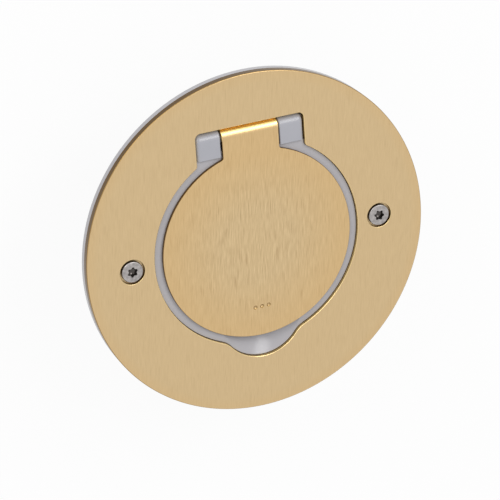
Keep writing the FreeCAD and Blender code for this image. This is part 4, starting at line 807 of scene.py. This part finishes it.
RUBBER = rubber("seal_rubber_black")
ring = start_outline("lid_sealing_ring", SEAL_RING_INNER, 0, SEAL_RING_TOP)
bulb = (SEAL_RING_OUTER - SEAL_RING_INNER) / 2
draw_line(x=2 * bulb)
draw_line(z=SEAL_NICK_Z + SEAL_NICK - SEAL_RING_TOP)
draw_line(x=-SEAL_NICK, z=-SEAL_NICK)
draw_line(x=SEAL_NICK, z=-SEAL_NICK)
draw_line(z=SEAL_BULB_Z - SEAL_NICK_Z + SEAL_NICK)
draw_arc((SEAL_RING_INNER + bulb, 0, SEAL_BULB_Z), 180, (0, 1, 0), 12)
draw_line(z=SEAL_NICK_Z - SEAL_NICK - SEAL_BULB_Z)
draw_line(x=SEAL_NICK, z=SEAL_NICK)
draw_line(x=-SEAL_NICK, z=SEAL_NICK)
draw_line(z=SEAL_RING_TOP - SEAL_NICK_Z - SEAL_NICK)
turn_profile((0, 0, 0), 2.5)
shade(ring)
finish_piece(ring, "lid_seal", "lid", RUBBER)

NUT_RADIUS = 3.2
NUT_BORE = 1.55
NUT_SEAT = 46.2
NUT_TOP = 45.1
NUT_SHEET = 0.35
NUT_SLOTS = 6
NUT_SLOT_WIDTH = 0.35
NUT_SLOT_REACH = 1.2
NUT_SLOT_BITE = 0.1
NUT_SLOT_RISE = 0.4
NUT_SLOT_TALL = 3.0
NUT_BRIM = 0.7
nuts = []
for x, y in STUD_PLACES:
    nut = start_outline("push_nut", x + NUT_RADIUS, y, NUT_SEAT)
    draw_line(z=-NUT_SHEET)
    draw_line(x=-NUT_BRIM)
    draw_line(x=NUT_BORE - NUT_RADIUS + NUT_BRIM, z=NUT_TOP - NUT_SEAT + NUT_SHEET)
    draw_line(z=NUT_SHEET)
    draw_line(x=NUT_RADIUS - NUT_BORE - NUT_BRIM, z=NUT_SEAT - NUT_TOP - NUT_SHEET)
    draw_line(x=NUT_BRIM)
    turn_profile((x, y, 0), 8)
    slot_size = Vector((NUT_SLOT_REACH, NUT_SLOT_WIDTH, NUT_SLOT_TALL)) * MM
    slots = []
    for index in range(NUT_SLOTS):
        turn = pi * (index + 0.5) / NUT_SLOTS * 2
        reach = NUT_BORE + NUT_SLOT_REACH / 2 - NUT_SLOT_BITE
        place = Vector((x + reach * cos(turn), y + reach * sin(turn), NUT_TOP + NUT_SLOT_RISE))
        put_down()
        bpy.ops.mesh.primitive_cube_add(size=1, location=place * MM, rotation=(0, 0, turn))
        bpy.ops.transform.resize(value=slot_size, orient_type="LOCAL")
        slots.append(bpy.context.object)
    cut_away(nut, *slots)
    nuts.append(nut)
pick_up(*nuts)
bpy.ops.object.join()
push_nuts = bpy.context.object
push_nuts.name = push_nuts.data.name = "push_nuts"
shade(push_nuts)
finish_piece(push_nuts, "lid_nuts", "lid", SPRING_WIRE)

# The cover plate is cut from 2.6 mm rolled brass: one opening serves lid, hinge window and
# finger notch, its upper edges are rounded, and a pocket on each side sinks a screw's head.
PLATE_RADIUS = 65.0
PLATE_UNDER = 46.4
PLATE_EDGE_ROUND = 0.4
OPENING_RADIUS = 39.4
WINDOW_HALF = 20.7
WINDOW_END = 46.2
WINDOW_CORNER = 2.0
WINDOW_BLEND = 1.5
NOTCH_RADIUS = 16.0
NOTCH_DROP = 28.8
NOTCH_BLEND = 9.0
POCKET_RADIUS = 4.7
POCKET_FLOOR = 47.4
POCKET_RIM_ROUND = 0.22
MASK_MARGIN = 2.0
plate = start_outline("brass_cover_plate", 0, -PLATE_RADIUS, PLATE_UNDER)
draw_arc((0, 0, 0), 180, step=1.25)
mirror_outline(plate)
close_prism(z=LID_TOP - PLATE_UNDER)
opening = start_outline("plate_opening", 0, -NOTCH_DROP - NOTCH_RADIUS, PLATE_UNDER - CUT_PAST)
reach, notch_reach = OPENING_RADIUS + NOTCH_BLEND, NOTCH_RADIUS + NOTCH_BLEND
blend_y = (notch_reach ** 2 - reach ** 2 - NOTCH_DROP ** 2) / (2 * NOTCH_DROP)
blend_x = sqrt(reach ** 2 - blend_y ** 2)
from_notch = degrees(atan2(blend_y + NOTCH_DROP, blend_x))
from_middle = degrees(atan2(blend_y, blend_x))
window_x = WINDOW_HALF + WINDOW_BLEND
window_y = sqrt((OPENING_RADIUS + WINDOW_BLEND) ** 2 - window_x ** 2)
window_bearing = degrees(atan2(window_y, window_x))
draw_arc((0, -NOTCH_DROP, 0), 90 + from_notch, step=3)
draw_arc((blend_x, blend_y, 0), from_middle - from_notch, step=3)
draw_arc((0, 0, 0), window_bearing - from_middle, step=1.25)
draw_arc((window_x, window_y, 0), -window_bearing, step=10)
draw_line(y=WINDOW_END - WINDOW_CORNER - window_y)
draw_arc((WINDOW_HALF - WINDOW_CORNER, WINDOW_END - WINDOW_CORNER, 0), 90, step=10)
draw_line(x=WINDOW_CORNER - WINDOW_HALF)
mirror_outline(opening)
close_prism(z=LID_TOP - PLATE_UNDER + 2 * CUT_PAST)
cut_away(plate, opening)
bpy.ops.object.mode_set(mode="EDIT")
select_edges(plate, lambda p: p.z > LID_TOP - ON_FACE)
round_edges(PLATE_EDGE_ROUND, 4)
for x in (-COVER_SCREW_X, COVER_SCREW_X):
    pocket = start_outline("head_pocket", x, 0, PLATE_UNDER - CUT_PAST)
    draw_line(x=SCREW_HOLE)
    draw_line(z=POCKET_FLOOR - PLATE_UNDER + CUT_PAST)
    draw_line(x=POCKET_RADIUS - SCREW_HOLE)
    draw_line(z=LID_TOP - POCKET_RIM_ROUND - POCKET_FLOOR)
    draw_arc((x + POCKET_RADIUS + POCKET_RIM_ROUND, 0, LID_TOP - POCKET_RIM_ROUND), 90, (0, 1, 0),
             22)
    draw_line(z=CUT_PAST)
    draw_line(x=-POCKET_RADIUS - POCKET_RIM_ROUND)
    turn_profile((x, 0, 0), 5)
    cut_away(plate, pocket)
shade(plate)
# The plate's rounded edges are painted pale inside, a painted highlight, and dark at the outer
# rim, painted shade. Its cut walls keep the brass colour at the opening and are painted dark by
# the rim and the screw pockets, painted shade.
finish_piece(plate, "cover_plate", "housing",
             brushed_brass("plate_brass", streak_share=0.22, warm_start=60.5, warm_end=65.0,
                           warm_share=0.3, edges=((232, 204, 148), (156, 126, 80)),
                           walls=((208, 180, 120), (100, 76, 42)),
                           wall_shade_x=COVER_SCREW_X - POCKET_RADIUS - MASK_MARGIN,
                           barrel_y=PLATE_RADIUS + MASK_MARGIN))

# Two brass inserts are moulded into the frame for the cover screws. A rubber washer round each
# screw lies in the frame under the cover, and keeps water out of the screw's hole.
KNURLED_BRASS = bare_metal("insert_brass", (186, 146, 74), (214, 176, 98), 0.25, 0.4)
dress("left_threaded_insert", KNURLED_BRASS)
dress("right_threaded_insert", KNURLED_BRASS)
WASHER_INNER = 2.05
WASHER_OUTER = 3.65
WASHER_LOW = 45.4
WASHER_THICK = 1.0
WASHER_ROUND = 0.3
for name, side in (("left", -1), ("right", 1)):
    x = side * COVER_SCREW_X
    washer = start_outline(name + "_rubber_washer", x + WASHER_INNER, 0, WASHER_LOW)
    draw_line(x=WASHER_OUTER - WASHER_INNER - WASHER_ROUND)
    draw_arc((x + WASHER_OUTER - WASHER_ROUND, 0, WASHER_LOW + WASHER_ROUND), -90, (0, 1, 0), 22)
    draw_line(z=WASHER_THICK - 2 * WASHER_ROUND)
    draw_arc((x + WASHER_OUTER - WASHER_ROUND, 0, WASHER_LOW + WASHER_THICK - WASHER_ROUND), -90,
             (0, 1, 0), 22)
    draw_line(x=WASHER_INNER + WASHER_ROUND - WASHER_OUTER)
    draw_line(z=-WASHER_THICK)
    turn_profile((x, 0, 0), 5)
    shade(washer)
    finish_piece(washer, name + "_screw_seal", "housing", RUBBER)

# The cover screws are M4 pan heads in plated steel with a six-lobe drive. Their heads sink into
# the cover's pockets until only a rim of shadow shows, and their threads bite the inserts.
HEAD_RADIUS = 4.0
HEAD_TOP = 49.15
HEAD_ROUND = 0.5
SCREW_LENGTH = 16.0
SCREW_CORE = 1.62
SCREW_RADIUS = 1.95
THREAD_PITCH = 0.7
THREAD_TURNS = 17
THREAD_FLANK = 0.3
THREAD_ROOT = 0.05
THREAD_RUNOUT = 0.4
SCREW_TIP = 0.6
LOBES = 6
LOBE_TURN = 360 / LOBES
LOBE_CENTRE = 1.5
LOBE_RADIUS = 0.48
VALLEY_RADIUS = 0.6
DRIVE_DEPTH = 1.5
DRIVE_CONE = 0.8
# The painted shade in the drive starts this far under the head's top.
DRIVE_SHADE_FROM = 0.15
lead = LOBE_CENTRE * cos(radians(LOBE_TURN / 2))
gap = LOBE_RADIUS + VALLEY_RADIUS
valley_centre = lead + sqrt(lead ** 2 - LOBE_CENTRE ** 2 + gap ** 2)
across = valley_centre * cos(radians(LOBE_TURN / 2)) - LOBE_CENTRE
lobe_half = degrees(atan2(valley_centre * sin(radians(LOBE_TURN / 2)), across))


def cover_screw(name):
    """One cover screw, head up, at its place on the right."""
    x = COVER_SCREW_X
    screw = start_outline(name, x, 0, HEAD_TOP)
    draw_line(x=HEAD_RADIUS - HEAD_ROUND)
    draw_arc((x + HEAD_RADIUS - HEAD_ROUND, 0, HEAD_TOP - HEAD_ROUND), 90, (0, 1, 0), 15)
    draw_line(z=POCKET_FLOOR - HEAD_TOP + HEAD_ROUND)
    draw_line(x=SCREW_RADIUS - HEAD_RADIUS)
    draw_line(z=-SCREW_LENGTH + THREAD_PITCH * THREAD_TURNS + 2 * THREAD_RUNOUT + SCREW_TIP)
    draw_line(x=SCREW_CORE - SCREW_RADIUS, z=-THREAD_RUNOUT)
    draw_line(z=-THREAD_PITCH * THREAD_TURNS - THREAD_RUNOUT)
    draw_line(x=-SCREW_TIP, z=-SCREW_TIP)
    draw_line(x=SCREW_TIP - SCREW_CORE)
    turn_profile((x, 0, 0), 5)
    drive = start_outline("drive", x + LOBE_CENTRE + LOBE_RADIUS * cos(radians(lobe_half)),
                          -LOBE_RADIUS * sin(radians(lobe_half)), HEAD_TOP - DRIVE_DEPTH)
    for index in range(LOBES):
        bearing = radians(LOBE_TURN * index)
        lobe = (x + LOBE_CENTRE * cos(bearing), LOBE_CENTRE * sin(bearing), 0)
        between = bearing + radians(LOBE_TURN / 2)
        valley = (x + valley_centre * cos(between), valley_centre * sin(between), 0)
        draw_arc(lobe, 2 * lobe_half, step=15)
        draw_arc(valley, LOBE_TURN - 2 * lobe_half, step=15)
    close_prism(z=DRIVE_DEPTH + CUT_PAST)
    cone = start_outline("drive_cone", x, 0, HEAD_TOP - DRIVE_DEPTH - DRIVE_CONE)
    draw_line(x=LOBE_CENTRE - LOBE_RADIUS / 2, z=DRIVE_CONE)
    draw_line(z=DRIVE_CONE)
    draw_line(x=LOBE_RADIUS / 2 - LOBE_CENTRE)
    turn_profile((x, 0, 0), 10)
    cut_away(screw, drive, cone)
    thread = start_outline(name + "_thread", SCREW_CORE - THREAD_ROOT, 0,
                           POCKET_FLOOR - SCREW_LENGTH + SCREW_TIP + THREAD_RUNOUT)
    draw_line(x=SCREW_RADIUS - SCREW_CORE + THREAD_ROOT, z=THREAD_FLANK)
    draw_line(x=SCREW_CORE - SCREW_RADIUS - THREAD_ROOT, z=THREAD_FLANK)
    draw_line(z=-2 * THREAD_FLANK)
    bpy.ops.mesh.select_all(action="SELECT")
    bpy.ops.mesh.remove_doubles(threshold=WELD_GAP)
    apply_modifier(thread, "SCREW", axis="Z", angle=2 * pi, screw_offset=THREAD_PITCH * MM,
                   iterations=THREAD_TURNS - 1, steps=24, render_steps=24, use_merge_vertices=True,
                   merge_threshold=WELD_GAP)
    bpy.ops.object.mode_set(mode="EDIT")
    bpy.ops.mesh.select_all(action="DESELECT")
    bpy.ops.mesh.select_mode(type="EDGE")
    bpy.ops.mesh.select_non_manifold()
    bpy.ops.mesh.fill_holes(sides=3)
    weld()
    bpy.ops.mesh.select_all(action="SELECT")
    bpy.ops.transform.translate(value=Vector((x, 0, 0)) * MM)
    pick_up(screw, thread)
    bpy.ops.object.join()
    shade(screw)
    return screw


def plated_steel():
    """Dull plated steel painted darker with depth: painted shade in the drive and round the head's
    side in its pocket.
    """
    material, nodes, links, shader = new_material("plated_steel", 0.3, metallic=1.0)
    marks = placed(nodes, STAMPED_METAL, Stripe_Scale=1400.0, Spot_Scale=900.0)
    mask = spread(nodes, links, marks.outputs["Spots"], 0.15, 0.0, 1.0)
    plating = mixed_colour(nodes, links, mask, linear(150, 146, 145), linear(178, 173, 171))
    split = nodes.new("ShaderNodeSeparateXYZ")
    links.new(nodes.new("ShaderNodeTexCoord").outputs["Object"], split.inputs[0])
    # From just under the head's top down to the drive's floor the colour darkens: painted shade.
    depth = mapped(nodes, links, split.outputs["Z"], (HEAD_TOP - DRIVE_SHADE_FROM) * MM,
                   (HEAD_TOP - DRIVE_DEPTH) * MM, 0.0, 1.0)
    links.new(mixed_colour(nodes, links, depth, plating, linear(78, 74, 72)),
              shader.inputs["Base Color"])
    links.new(mapped(nodes, links, depth, 0.0, 1.0, 0.34, 0.12), shader.inputs["Roughness"])
    bumped(nodes, links, shader, marks.outputs["Height"], ROLLING_DEPTH, 0.3)
    return material


PLATED_STEEL = plated_steel()
right_screw = cover_screw("right_pan_head")
bpy.ops.object.duplicate(linked=False)
left_screw = bpy.context.object
left_screw.name = left_screw.data.name = "left_pan_head"
LEFT_DRIVE_TURN = 21.0
RIGHT_DRIVE_TURN = -8.0
for screw, x, drive_turn in ((right_screw, COVER_SCREW_X, RIGHT_DRIVE_TURN),
                             (left_screw, -COVER_SCREW_X, LEFT_DRIVE_TURN)):
    home = Matrix.Translation(Vector((x, 0, 0)) * MM)
    away = Matrix.Translation(Vector((-COVER_SCREW_X, 0, 0)) * MM)
    screw.data.transform(home @ Matrix.Rotation(radians(drive_turn), 4, "Z") @ away)
finish_piece(right_screw, "right_cover_screw", "housing", PLATED_STEEL)
finish_piece(left_screw, "left_cover_screw", "housing", PLATED_STEEL)
